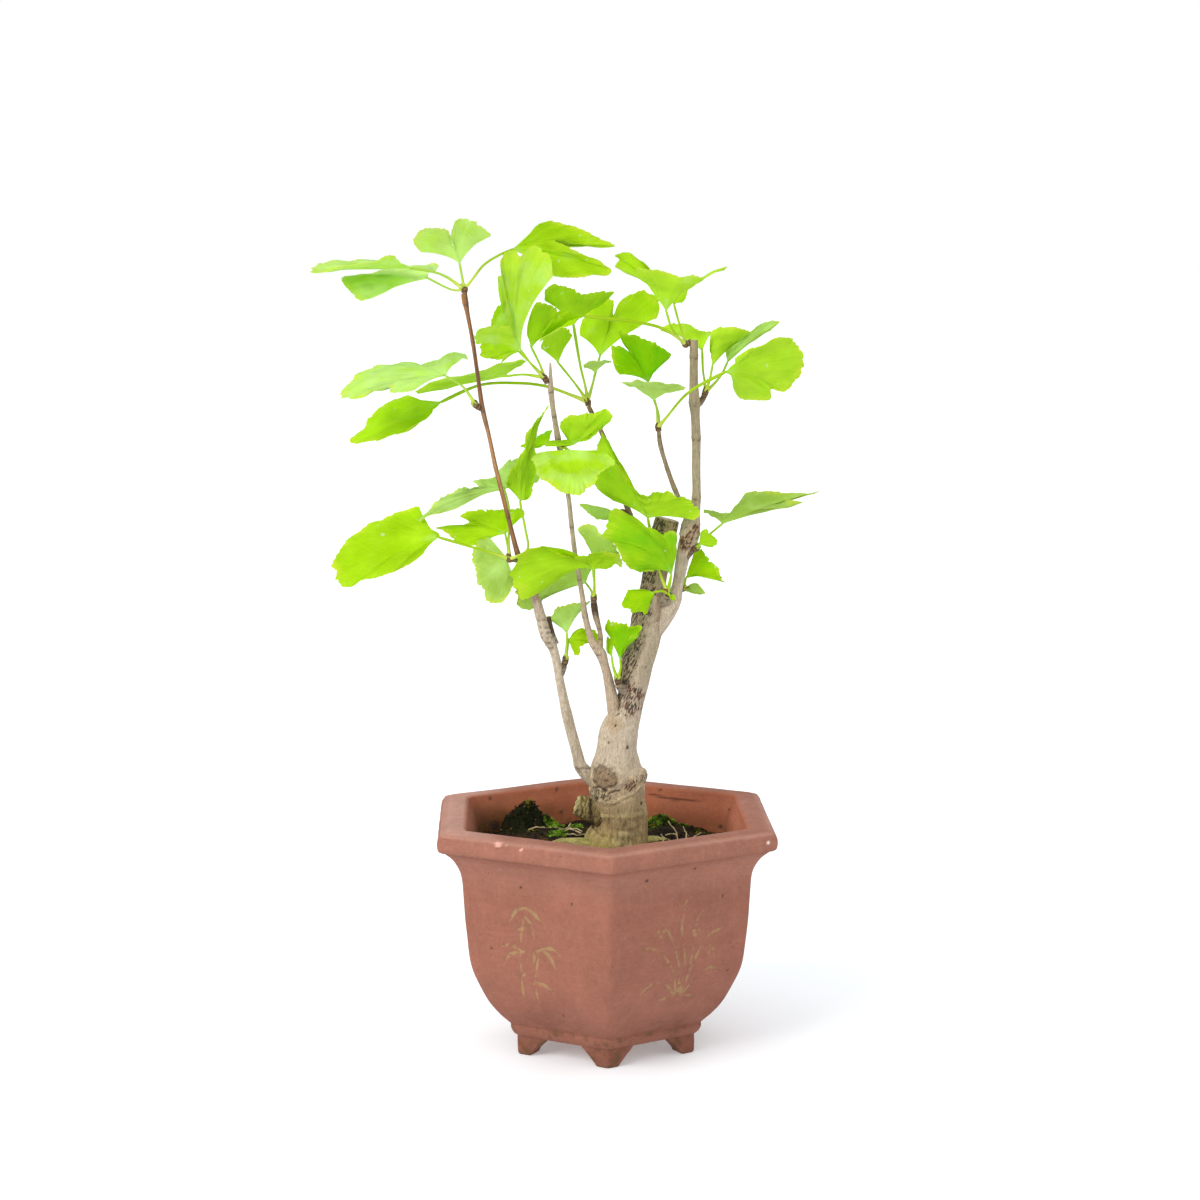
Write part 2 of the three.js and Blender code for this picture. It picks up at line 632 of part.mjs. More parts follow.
        rim: [[-74.5, -12, 270.3], [-85.8, -14, 267.5], [-90.2, -14, 265.5], [-82.3, -12, 273.6],
          [-74.3, -10, 278.4], [-63.1, -6, 281.4], [-65, -2, 285], [-54.7, 2, 285.1],
          [-51.5, 6, 289.2], [-43.5, 8, 294], [-32, 4, 290.4], [-31, 0, 283.3]] },
      { stalk: [[-43.4, -12.6, 247.6], [-38, -11.4, 251], [-39, -9, 260.4], [-41, -7, 270]],
        base: [-41.6, -6, 273.6], follow: 0.5, cuts: [6],
        rim: [[-49.8, -8, 283], [-46.1, -10, 289.2], [-42.9, -11, 295.6], [-38.9, -11, 300.5],
          [-37.4, -10, 307.7], [-34.6, -9, 313.3], [-28.1, -8, 320.9], [-33.9, -4, 304.9],
          [-33.6, -3, 289.2], [-36, -3, 281.1], [-36, -4, 275.3]] },
    ],
  },
  {
    name: "spray_middle_fork",
    place: [0, 0, 0],
    color: green,
    bud: [-5.3, -8, 226.4],
    leaves: [
      { stalk: [[-5, -11, 233]], base: [-5.7, -13, 240.4], follow: 0.65, cuts: [6],
        rim: [[3.1, -14, 241.5], [5, -16, 243.8], [6, -18, 247.4], [4.5, -20, 249.4],
          [-9.1, -20, 249.6], [-13.7, -19, 249], [-15.4, -18, 247.4], [-22.4, -20, 249.2],
          [-28.6, -21, 252.4], [-34.6, -21, 253.3], [-40.2, -20, 251], [-43.2, -18, 247.5],
          [-45, -17, 238.5], [-43.4, -17, 232.6], [-40.3, -17, 227.3], [-35.7, -17, 228.2],
          [-32, -17, 230.8]] },
      { stalk: [[-5, -8.6, 234]], base: [-5.3, -9, 246], follow: 0.3, cuts: [],
        rim: [[-14.5, -10, 262.8], [-8.6, -12, 263], [-5.2, -13, 261.9], [-0.8, -14, 258.5],
          [4.4, -14, 253.7], [8, -13, 248.2], [10.5, -11, 241.4]] },
      { stalk: [[-6.6, -4, 229.6]], base: [-9.2, 0.6, 232.7], follow: 0.25, cuts: [],
        rim: [[-35.3, -2.6, 222.4], [-39.5, -3, 219.9], [-43.6, -4, 223.4], [-44, -4, 228],
          [-40, -3, 236], [-32, -1, 242], [-20, 1, 245], [-10, 2, 243], [-5.8, 2, 241.3]] },
    ],
  },
  {
    name: "spray_left_spur",
    place: [0, -2.4, 0.4],
    color: green,
    bud: [-19.4, -4.7, 194.6],
    leaves: [
      { stalk: [[-18.7, -3.6, 203]], base: [-18.7, -3, 208], follow: 0.4, cuts: [5],
        rim: [[-29.5, -4, 216.1], [-26.6, -2, 216.9], [-24, 0, 220], [-18.7, 2, 221.7],
          [-12.3, 3, 222], [-7.3, 4, 222.4], [-12.2, 1, 218.9]] },
      { stalk: [[-18.4, -3, 200]], base: [-18, -2, 204], follow: 0.3, cuts: [],
        rim: [[-14.9, 0, 209.4], [-11.7, 1, 210.3], [-9.3, 1, 209.8], [-3.3, 2, 208.7],
          [-3, 2, 202.8], [-8.5, 1, 202.9], [-11.2, 0, 201.4], [-12.7, -1, 197.9],
          [-13.9, -2, 194.6]] },
    ],
  },
  {
    name: "spray_trunk_spur",
    place: [0, 0, 0],
    color: paleGreen,
    bud: [6.4, -8.4, 185.6],
    leaves: [
      { stalk: [[8, -9.4, 192]], base: [7.7, -9.6, 195.6], follow: 0.4, cuts: [],
        rim: [[-1, -3, 211.9], [2.7, -6, 214.9], [5.9, -9, 215.4], [12.9, -12, 213.6],
          [18.1, -13.5, 212.8], [17.7, -13.5, 210.4], [13.4, -13, 207.8], [9.9, -12, 204.8]] },
      { stalk: [[4.2, -8, 192.6]], base: [3.6, -7, 196.6], follow: 0.3, cuts: [],
        rim: [[0.8, -4.2, 199.8], [0.9, -2.8, 203.2], [1.8, -2.2, 206], [5, -4, 206]] },
    ],
  },
  {
    name: "spray_fork",
    place: [0, 0, 0],
    color: green,
    bud: [31.1, -8.3, 229.2],
    leaves: [
      { stalk: [], base: [32.7, -11, 238.2], follow: 0.6, cuts: [8],
        rim: [[35, -12, 250.1], [35.7, -14, 255.6], [35.2, -15, 258.9], [32.9, -15, 259.7],
          [29.4, -16, 259], [24.8, -18, 261.8], [21.6, -19, 262.8], [18.6, -19, 262.4],
          [10.8, -22, 269.7], [8.4, -23, 270.9], [4.3, -23, 271.4], [2.5, -22, 270.2],
          [1.1, -20, 264.3], [-0.6, -18, 258.1], [3.8, -18, 254.8], [7.9, -18, 248.4],
          [10.9, -17, 243.9], [17.8, -15, 240.7], [21.3, -14, 242.2]] },
      { stalk: [[27.6, -11.4, 230.4]], base: [25, -13, 230.2], follow: 0.4, cuts: [8],
        rim: [[17.8, -14, 231.3], [12, -15, 230.9], [10.3, -15, 229.5], [9.5, -15, 225.6],
          [10, -15, 223], [12, -15, 222.6], [12.9, -15, 219.8], [17.9, -15, 220.3],
          [19.3, -15, 219.1], [21.1, -15, 219.8], [21.6, -14, 224.4]] },
      { stalk: [[27.6, -8.8, 238], [24, -9.8, 252]], base: [21.2, -11, 266.2], follow: 0.25,
        cuts: [7, 12],
        rim: [[46, -10, 265.2], [47, -10, 268.8], [43.8, -11, 273.2], [38.8, -12, 276.7],
          [34.9, -13, 278.8], [29.4, -14, 279.8], [24.6, -14, 279.3], [21.2, -14, 277.6],
          [17.3, -14, 278.6], [9.9, -12, 287.2], [7.8, -10, 292.3], [5.1, -9, 296.9],
          [-1.8, -9, 309.4], [-4.6, -8, 295], [-5.2, -10, 282.9], [1.8, -11, 276]] },
      { stalk: [], base: [31.8, -10.2, 228.4], follow: 0.3, cuts: [],
        rim: [[31.5, -12, 225.6], [35.6, -12, 225.4], [36, -11.6, 229]] },
    ],
  },
  {
    name: "spray_middle_spur",
    place: [0, 0, 0],
    color: green,
    bud: [-21.6, -5.2, 301.4],
    leaves: [
      { stalk: [], base: [-17.9, -8, 299.8], follow: 0.2, cuts: [],
        rim: [[-34.6, -12, 298.8], [-36.3, -14, 296.5], [-34.1, -18, 292.7], [-31.4, -22, 287.4],
          [-27.5, -24, 285.5], [-23, -27, 282.3], [-18.7, -28, 280.6], [-13.1, -28, 280.1],
          [-9, -26, 282.7], [-5.2, -25, 284.1], [-2.5, -22, 288.7], [5, -18, 293.7],
          [2.6, -15, 297.6], [-1.8, -13, 299.7]] },
      { stalk: [], base: [-15.8, -9, 302.4], follow: 0.2, cuts: [2],
        rim: [[-31.5, -10, 300.9], [-28.6, -11, 303.9], [-18.8, -11, 305.4], [-22, -12, 311.2],
          [-21.2, -13, 315.4], [-18.3, -14, 317.2], [-9.1, -14, 317.7], [-5.1, -13, 317.2],
          [0.6, -12, 319.9], [3.3, -12, 316.8], [-0.8, -11, 310.8], [-7.6, -11, 306.4]] },
      { stalk: [[-25.2, -4.6, 302]], base: [-27.4, -1, 302.4], follow: 0.3, cuts: [],
        rim: [[-25.4, 7, 310], [-33.5, 7, 304.6], [-41.4, 4, 300.2], [-33.8, 2, 298.9]] },
    ],
  },
  {
    name: "spray_right_middle",
    place: [0, 0, 0],
    color: green,
    bud: [45, -2, 250.4],
    leaves: [
      { stalk: [[48.4, 0, 254], [53.3, 1, 258.2]], base: [58.4, 2, 262.3], follow: 0.2, cuts: [3, 9],
        rim: [[47.6, 6, 269.4], [51.9, 8, 269], [56.2, 10, 267.3], [62.8, 10, 266.8],
          [67.2, 16, 271.7], [71.3, 20, 275.9], [77.7, 24, 276.7], [92.3, 26, 273.8],
          [107.2, 20, 276], [92.1, 14, 273.3], [97.4, 10, 271.6], [85.5, 6, 270.6],
          [74.8, 4, 269.1]] },
      { stalk: [], base: [46.6, -3.6, 252.4], follow: 0.3, cuts: [],
        rim: [[47, -5, 260.6], [49.7, -7, 260.2], [53.8, -9, 257.6], [56.3, -9, 254.8],
          [54.8, -9, 252], [51.4, -7, 251.5]] },
    ],
  },
  {
    name: "spray_fork_back",
    place: [0, 0, 0],
    color: deepGreen,
    bud: [38.9, 4.4, 229.5],
    leaves: [
      { stalk: [], base: [40.4, 4, 234.6], follow: 0.4, cuts: [],
        rim: [[43.3, 5, 242.2], [45.3, 6, 248.3], [48.8, 6, 249.3], [51.3, 4, 245.1],
          [54.8, 2, 239.4], [60, -2, 233.2], [53.7, 2, 237]] },
      { stalk: [], base: [40.2, 4.4, 228.8], follow: 0.2, cuts: [],
        rim: [[41.6, 4, 231.6], [44.6, 4, 232.2], [48.3, 4, 230.8], [51.3, 3, 227],
          [43.8, 3, 226.6]] },
    ],
  },
  {
    name: "spray_back_spur",
    place: [0, 4, -0.4],
    color: deepGreen,
    bud: [8.8, 9.6, 267.2],
    leaves: [
      { stalk: [], base: [5.6, 9, 266.8], follow: 0.3, cuts: [],
        rim: [[0.4, 14, 268.6], [-6.4, 12, 269.9], [-11.8, 9, 270], [-3.3, 4, 265.6],
          [1.4, 4, 264.4]] },
    ],
  },
];

const vector = (p) => new THREE.Vector3(...p);

// Margin points at the given ones and half way along each long stretch between them.
function margin(rim, cuts) {
  const ends = [0, ...cuts, rim.length - 1];
  const points = [vector(rim[0])];
  for (let e = 0; e + 1 < ends.length; e++) {
    const part = rim.slice(ends[e], ends[e + 1] + 1).map(vector);
    if (part.length < 2) continue;
    const curve = new THREE.CatmullRomCurve3(part);
    for (let i = 0; i + 1 < part.length; i++) {
      const long = part[i].distanceTo(part[i + 1]) > 9;
      if (long) points.push(curve.getPoint((i + 0.5) / (part.length - 1)));
      points.push(part[i + 1]);
    }
  }
  return points;
}

// The blade's middle surface, as rows of points from the base to the margin.
function bladeRows(leaf, bud) {
  const base = vector(leaf.base);
  const before = vector(leaf.stalk.at(-1) ?? bud);
  const along = base.clone().sub(before).normalize();
  const edge = margin(leaf.rim, leaf.cuts);
  const reach = edge.reduce((sum, p) => sum + p.distanceTo(base), 0) / edge.length;
  const shares = reach > 33 ? [0, 0.34, 0.68, 1] : [0, 0.5, 1];
  return shares.map((share) => edge.map((tip) => veinPoint(base, tip, along, leaf.follow, share)));
}

function veinPoint(root, tip, along, follow, share) {
  const span = tip.clone().sub(root);
  const handle = root.clone().addScaledVector(span, 0.5 * (1 - follow));
  handle.addScaledVector(along, 0.5 * follow * span.length());
  const curve = new THREE.QuadraticBezierCurve3(root, handle, tip);
  return curve.getPoint(share);
}

function rowNormals(rows) {
  const columns = rows[0].length;
  const whole = new THREE.Vector3();
  const normals = rows.map((row, r) =>
    row.map((p, i) => {
      const left = row[Math.max(i - 1, 0)];
      const right = row[Math.min(i + 1, columns - 1)];
      const out = rows[Math.min(r + 1, rows.length - 1)][i].clone();
      out.sub(rows[Math.max(r - 1, 0)][i]);
      const n = right.clone().sub(left).cross(out);
      whole.add(n);
      return n.normalize();
    }),
  );
  whole.normalize();
  normals[0] = normals[0].map(() => whole.clone());
  return normals;
}

// A thin closed blade: both faces are split alike, and a band closes the edge. Point 0 of each
// face is the base, and `at` numbers the others by row and column.
function blade(leaf, bud) {
  const rows = bladeRows(leaf, bud);
  const normals = rowNormals(rows);
  const last = rows[0].length - 1;
  const at = (r, i) => (r === 0 ? 0 : 1 + (r - 1) * (last + 1) + i);
  const count = at(rows.length - 1, last) + 1;
  const points = [...faceOf(rows, normals, 1, leaf), ...faceOf(rows, normals, -1, leaf)];
  const faces = [];
  const both = (a, b, c) => faces.push([a, b, c], [count + a, count + c, count + b]);
  for (let r = 0; r + 1 < rows.length; r++) {
    for (let i = 0; i < last; i++) {
      both(at(r, i), at(r + 1, i + 1), at(r + 1, i));
      if (r > 0) both(at(r, i), at(r, i + 1), at(r + 1, i + 1));
    }
  }
  edgeLoop(rows.length - 1, last, at).forEach(([a, b]) => {
    faces.push([b, a, count + a], [b, count + a, count + b]);
  });
  return solidOf(points, faces);
}

// The points of one face, lifted from the middle surface; the margin also waves a little.
function faceOf(rows, normals, side, leaf) {
  const points = [];
  rows.forEach((row, r) => {
    row.forEach((p, i) => {
      if (r === 0 && i > 0) return;
      const wave = 0.5 * (r / (rows.length - 1)) ** 2 * Math.sin(2.1 * i + leaf.base[0]);
      const lift = wave + (side * bladeThickness) / 2;
      points.push(p.clone().addScaledVector(normals[r][i], lift).toArray());
    });
  });
  return points;
}

function edgeLoop(margin, last, at) {
  const loop = [0];
  for (let r = 1; r <= margin; r++) loop.push(at(r, last));
  for (let i = last - 1; i >= 0; i--) loop.push(at(margin, i));
  for (let r = margin - 1; r > 0; r--) loop.push(at(r, 0));
  return loop.map((a, i) => [a, loop[(i + 1) % loop.length]]);
}

// The stalk runs from the bud into the blade's base and ends in a point on it.
function stalk(leaf, bud) {
  const base = vector(leaf.base);
  const before = vector(leaf.stalk.at(-1) ?? bud);
  const tip = base.clone().addScaledVector(base.clone().sub(before).normalize(), 1.6);
  const curve = new THREE.CatmullRomCurve3([bud, ...leaf.stalk, leaf.base].map(vector).concat(tip));
  const steps = Math.max(3, Math.round(curve.getLength() / 11));
  const path = [];
  for (let i = 0; i <= steps; i++) {
    const p = curve.getPointAt(i / steps);
    path.push([p.x, p.y, p.z, i === steps ? 0.45 : stalkRadius]);
  }
  return limb(path, 4, 0, 0);
}

function budSolid(centre) {
  const ball = new THREE.SphereGeometry(spurBud, 7, 4);
  ball.translate(...centre);
  return solidOfGeometry(ball);
}

function spray({ bud, leaves }) {
  const pieces = [budSolid(bud)];
  for (const leaf of leaves) {
    pieces.push(stalk(leaf, bud));
    pieces.push(blade(leaf, bud));
  }
  return joined(pieces);
}

// ---------------------------------------------------------------- the whole
const bonsai = new THREE.Group();
bonsai.name = "ginkgo_bonsai";
const planter = new THREE.Group();
planter.add(meshOf("pot", pot(), clay, 0.85));
planter.add(meshOf("drainage_mesh", drainageMesh(), blackPlastic, 0.6));
planter.add(meshOf("soil", soil(), earth, 0.95));
const tree = new THREE.Group();
tree.add(meshOf("wood", wood(), bark, 0.8));
for (const one of sprays) {
  const leafy = meshOf(one.name, spray(one), one.color, 0.55);
  leafy.position.set(...one.place);
  tree.add(leafy);
}
bonsai.add(planter, tree);
bonsai.position.x = potAxisX;

export default bonsai;
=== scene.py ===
"""A ginkgo bonsai in a hexagonal pot of unglazed red clay.

Lengths are written in millimetres in the plan's own frame, whose origin is the pot's axis on the
ground; `metres` turns them into Blender's frame.
"""

import math
from collections import namedtuple

import bpy
import numpy as np
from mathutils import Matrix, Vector


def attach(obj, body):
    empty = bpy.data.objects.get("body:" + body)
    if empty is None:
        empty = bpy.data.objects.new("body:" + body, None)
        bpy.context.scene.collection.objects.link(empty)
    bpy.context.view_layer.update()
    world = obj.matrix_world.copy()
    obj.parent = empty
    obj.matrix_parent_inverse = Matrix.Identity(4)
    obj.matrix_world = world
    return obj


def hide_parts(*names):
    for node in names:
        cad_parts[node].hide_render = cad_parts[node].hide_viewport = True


MM = 0.001
POT_AXIS_X = 16.4  # the pot's axis from the middle of the whole plant's width
TURN = math.radians(1.8)  # the front corner's angle from -Y
SHARP_EDGE = math.radians(48)
CURVE_SAMPLES = 24  # taken on each span of a curve to measure it
FULL_TURN = 2 * math.pi


# ---------------------------------------- numbers, noise and colours
def metres(points):
    return (np.asarray(points, float) + (POT_AXIS_X, 0, 0)) * MM


def unit(vectors):
    return vectors / np.maximum(np.linalg.norm(vectors, axis=-1, keepdims=True), 1e-9)


def ease(low, high, values):
    """0 below `low`, 1 above `high`, smooth between."""
    share = np.clip((values - low) / (high - low), 0, 1)
    return share * share * (3 - 2 * share)


def bell(values, middle, width):
    """1 at `middle`, and nothing well beyond `width` on both sides of it."""
    return np.exp(-((values - middle) / width) ** 2)


def cell_value(x, y, z, seed):
    """A repeatable random number, -1 to 1, for each whole-number cell."""
    h = (x * 374761393 + y * 668265263 + z * 1440662683 + seed * 362437) & 0xFFFFFFFF
    h = ((h ^ (h >> 13)) * 1274126177) & 0xFFFFFFFF
    return ((h ^ (h >> 16)) & 0xFFFF) / 32767.5 - 1


def noise(points, size, seed=0):
    """Smooth noise, -1 to 1, with bumps about `size` mm across, a number or one per axis."""
    place = np.asarray(points, float) / np.asarray(size, float)
    cell = np.floor(place).astype(np.int64)
    share = place - cell
    share = share * share * (3 - 2 * share)
    total = 0
    for corner in range(8):
        step = [(corner >> axis) & 1 for axis in range(3)]
        weight = np.prod(np.where(step, share, 1 - share), axis=-1)
        total = total + weight * cell_value(*np.moveaxis(cell + step, -1, 0), seed)
    return total


def rough(points, size, octaves=3, seed=0):
    """Noise with finer and weaker noise added to it."""
    size = np.asarray(size, float)
    return sum(noise(points, size / 2**k, seed + 17 * k) / 2**k for k in range(octaves))


def rgb(*display):
    """A colour given as display values of 0 to 255, as linear light."""
    display = np.array(display) / 255
    return np.where(display <= 0.04045, display / 12.92, ((display + 0.055) / 1.055) ** 2.4)


def blend(share, low, high):
    """Colours between two, for a share at each point."""
    share = np.clip(np.asarray(share, float), 0, 1)[..., None]
    return low * (1 - share) + high * share


def coats(colour, *layers):
    """A colour with others laid over it in turn, each given by its share and its colour."""
    for share, over in layers:
        colour = blend(share, colour, over)
    return colour


# ---------------------------------------- curves
def run_of(line):
    """The length along a line up to each of its points."""
    return np.concatenate([[0], np.cumsum(np.linalg.norm(np.diff(line, axis=0), axis=1))])


def spline(points, at):
    """A curve through the points; `at` counts spans from the first point."""
    whole = np.vstack([2 * points[0] - points[1], points, 2 * points[-1] - points[-2]])
    steps = np.sqrt(np.linalg.norm(np.diff(whole[:, :3], axis=0), axis=1))
    i = np.minimum(at.astype(int), len(points) - 2)
    t = (at - i)[:, None]
    p0, p1, p2, p3 = (whole[i + k] for k in range(4))
    d0, d1, d2 = (steps[i + k][:, None] for k in range(3))
    m1 = d1 * ((p1 - p0) / d0 - (p2 - p0) / (d0 + d1) + (p2 - p1) / d1)
    m2 = d1 * ((p2 - p1) / d1 - (p3 - p1) / (d1 + d2) + (p3 - p2) / d2)
    a = 2 * p1 - 2 * p2 + m1 + m2
    b = -3 * p1 + 3 * p2 - 2 * m1 - m2
    return ((a * t + b) * t + m1) * t + p1


def curve(points, step, least=2):
    """A smooth curve through the points, as places about `step` apart."""
    points = np.asarray(points, float)
    spans = len(points) - 1
    at = np.linspace(0, spans, CURVE_SAMPLES * spans + 1)
    run = run_of(spline(points, at)[:, :3])
    count = max(least, int(round(run[-1] / step)) + 1)
    return spline(points, np.interp(np.linspace(0, run[-1], count), run, at))


# ---------------------------------------- meshes
def signed_volume(points, faces):
    a = points[faces[:, 0]]
    return sum(np.sum(a * np.cross(points[faces[:, k]], points[faces[:, k + 1]]))
               for k in range(1, faces.shape[1] - 1))


class Shell:
    """Points, faces and per-point values of one piece, gathered part by part."""

    def __init__(self):
        self.points, self.faces, self.values, self.count = [], [], {}, 0

    def add(self, points, faces, **values):
        """A closed part. Its faces are turned to look outward."""
        points = np.asarray(points, float).reshape(-1, 3)
        inside_out = sum(signed_volume(points, some) for some in faces) < 0
        for some in faces:
            turned = some[:, ::-1] if inside_out else some
            self.faces += (turned + self.count).tolist()
        for name, value in values.items():
            wide = (3,) if np.shape(value)[-1:] == (3,) else ()
            self.values.setdefault(name, []).append(np.broadcast_to(value, (len(points), *wide)))
        self.points.append(points)
        self.count += len(points)

    def build(self, name):
        mesh = bpy.data.meshes.new(name)
        mesh.from_pydata(metres(np.vstack(self.points)).tolist(), [], self.faces)
        for key, parts in self.values.items():
            values = np.concatenate(parts)
            if values.ndim == 2:
                values = np.column_stack([values, np.ones(len(values))])
            kind, field = ("FLOAT_COLOR", "color") if values.ndim == 2 else ("FLOAT", "value")
            layer = mesh.attributes.new(key, kind, "POINT")
            layer.data.foreach_set(field, values.astype(np.float32).ravel())
        mesh.shade_smooth()
        mesh.set_sharp_from_angle(angle=SHARP_EDGE)
        return mesh


def grid_faces(rows, columns, looped=False):
    """Quads of a grid of points whose last column joins the first; `looped` joins the last row
    to the first as well."""
    r = np.arange(rows if looped else rows - 1)[:, None]
    c = np.arange(columns)[None, :]
    up, right = (r + 1) % rows, (c + 1) % columns
    corners = [r * columns + c, r * columns + right, up * columns + right, up * columns + c]
    return np.stack([k.ravel() for k in corners], axis=1)


def close_ends(rings):
    """Rings of points as one list that ends with the middles of both ends, and its faces."""
    count, sides = rings.shape[:2]
    points = np.vstack([rings.reshape(-1, 3), rings[0].mean(0), rings[-1].mean(0)])
    first = np.arange(sides)
    after, last = (first + 1) % sides, (count - 1) * sides + first
    low = np.stack([np.full(sides, count * sides), after, first], axis=1)
    high = np.stack([np.full(sides, count * sides + 1), last, last[after]], axis=1)
    return points, [grid_faces(count, sides), np.vstack([low, high])]


def add_object(name, data):
    made = bpy.data.objects.new(name, data)
    bpy.context.scene.collection.objects.link(made)
    return made


def add_piece(name, shell, material, slot, *nodes):
    piece = add_object(name, shell.build(name))
    piece.data.materials.append(material)
    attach(piece, "root")
    if nodes:
        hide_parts(*nodes)


# ---------------------------------------- tubes
class Tube:
    """A round limb about a path of (x, y, z, radius), with what its relief and colour need."""

    def __init__(self, path, sides, step, grain=0.0, end_rings=0):
        line = curve(path, step, 4)
        self.centres, self.radius = line[:, :3], np.maximum(line[:, 3:4], 0.2)
        angle = np.linspace(0, FULL_TURN, sides, endpoint=False)[None, :]
        self.run = run_of(self.centres)[:, None] + 0 * angle
        self.share = self.run / self.run[-1]
        side, other = self.frames()
        self.out = side[:, None] * np.cos(angle)[..., None] + other[:, None] * np.sin(angle)[..., None]
        height = self.centres[:, 2:3]
        swell = np.sin(3 * angle + height / 9) + 0.6 * np.sin(5 * angle - height / 5)
        self.points = self.centres[:, None] + self.out * (self.radius * (1 + grain * swell))[..., None]
        self.local = np.stack([self.radius * np.cos(angle), self.radius * np.sin(angle), self.run], -1)
        self.cap = 0 * self.run
        if end_rings:
            self.flatten_end(end_rings)

    def frames(self):
        """Two directions across the line at each of its points, carried along without twist."""
        along = unit(np.gradient(self.centres, axis=0))
        side = np.array([1.0, 0, 0])
        sides = []
        for direction in along:
            side = unit(side - direction * np.dot(side, direction))
            sides.append(side)
        return np.array(sides), np.cross(along, sides)

    def flatten_end(self, rings):
        """Closes the last end with rings that shrink to its middle. `cap` counts 0 to 1 there."""
        shares = np.arange(1, rings + 1) / (rings + 0.5)
        centre = self.points[-1].mean(0)
        disc = centre + (self.points[-1] - centre) * (1 - shares)[:, None, None]
        self.points = np.concatenate([self.points, disc])
        self.cap = np.concatenate([self.cap, shares[:, None] + 0 * self.cap[:1]])
        for name in ("out", "local", "run", "radius"):
            kept = getattr(self, name)
            setattr(self, name, np.concatenate([kept, np.repeat(kept[-1:], rings, axis=0)]))

    def lift(self, height):
        self.points = self.points + self.out * (np.asarray(height) * (1 - self.cap))[..., None]

    def add_to(self, shell, **values):
        full = {}
        for name, value in values.items():
            value = np.asarray(value, float)
            tail = value.shape[2:]
            value = np.broadcast_to(value, self.cap.shape + tail)
            ends = [value[0].mean(0), value[-1].mean(0)]
            full[name] = np.concatenate([value.reshape((-1,) + tail), ends])
        points, faces = close_ends(self.points)
        shell.add(points, faces, **full)


# ---------------------------------------- node materials
class Shader:
    """A node material, built by short calls that return sockets."""

    def __init__(self, name):
        self.material = bpy.data.materials.new(name)
        self.material.use_nodes = True
        self.tree = self.material.node_tree
        self.tree.nodes.clear()
        self.surface = self.node("BsdfPrincipled")
        self.output = self.node("OutputMaterial", [self.surface.outputs[0]])
        self.place = self.node("TexCoord").outputs["Object"]

    def node(self, kind, inputs=(), **settings):
        """A new node, with values or sockets for its inputs, in order or by place or name."""
        made = self.tree.nodes.new("ShaderNode" + kind)
        for key, value in settings.items():
            setattr(made, key, value)
        for key, value in inputs.items() if isinstance(inputs, dict) else enumerate(inputs):
            self.put(made.inputs[key], value)
        return made

    def put(self, socket, value):
        if isinstance(value, bpy.types.NodeSocket):
            self.tree.links.new(value, socket)
        else:
            socket.default_value = (*value, 1) if isinstance(value, np.ndarray) else value

    def finish(self, **values):
        """The material, once the Principled shader has values by names such as Base_Color."""
        for name, value in values.items():
            self.put(self.surface.inputs[name.replace("_", " ")], value)
        return self.material

    def read(self, name, output="Fac"):
        return self.node("Attribute", attribute_name=name).outputs[output]

    def noise(self, size, detail=3.0, vector=None, distortion=0.0):
        """Noise with bumps about `size` mm across, 0 to 1."""
        return self.node("TexNoise", {
            "Vector": vector or self.place, "Scale": 1 / (size * MM) if vector is None else 1 / size,
            "Detail": detail, "Distortion": distortion}).outputs["Fac"]

    def stretched(self, x, y, z, place=None):
        """A place, the surface's own unless given, scaled by a factor on each axis."""
        return self.node("VectorMath", [place or self.place, (x, y, z)], operation="MULTIPLY").outputs[0]

    def math(self, operation, a, b=0.0):
        return self.node("Math", [a, b], operation=operation).outputs[0]

    def times(self, a, b):
        return self.math("MULTIPLY", a, b)

    def span(self, value, low, high, out_low=0.0, out_high=1.0):
        """`value` between low and high, moved to another range and kept inside it."""
        return self.node("MapRange", [value, low, high, out_low, out_high],
                         interpolation_type="SMOOTHSTEP").outputs[0]

    def mix(self, share, a, b, kind="MIX"):
        return self.node("Mix", {0: share, 6: a, 7: b}, data_type="RGBA", blend_type=kind).outputs[2]

    def coat(self, colour, share, amount, over):
        """A colour with another laid over it, as much as the share times the amount."""
        return self.mix(self.times(share, amount), colour, over)

    def ramp(self, share, *stops):
        """Colours along a share: (position, colour) pairs."""
        made = self.node("ValToRGB", [share])
        for _ in stops[2:]:
            made.color_ramp.elements.new(1)
        for element, (position, colour) in zip(made.color_ramp.elements, stops):
            element.position, element.color = position, (*colour, 1)
        return made.outputs[0]

    def shade(self, colour, share, low, high):
        """A colour times `low` where the share is 0 and times `high` where it is 1."""
        factor = self.span(share, 0.0, 1.0, low, high)
        return self.node("VectorMath", {0: colour, "Scale": factor}, operation="SCALE").outputs[0]

    def bump(self, height, distance, normal=None):
        """`distance` in mm is how far the height's 0 to 1 moves the surface."""
        inputs = {"Distance": distance * MM, "Height": height}
        if normal:
            inputs["Normal"] = normal
        return self.node("Bump", inputs).outputs[0]


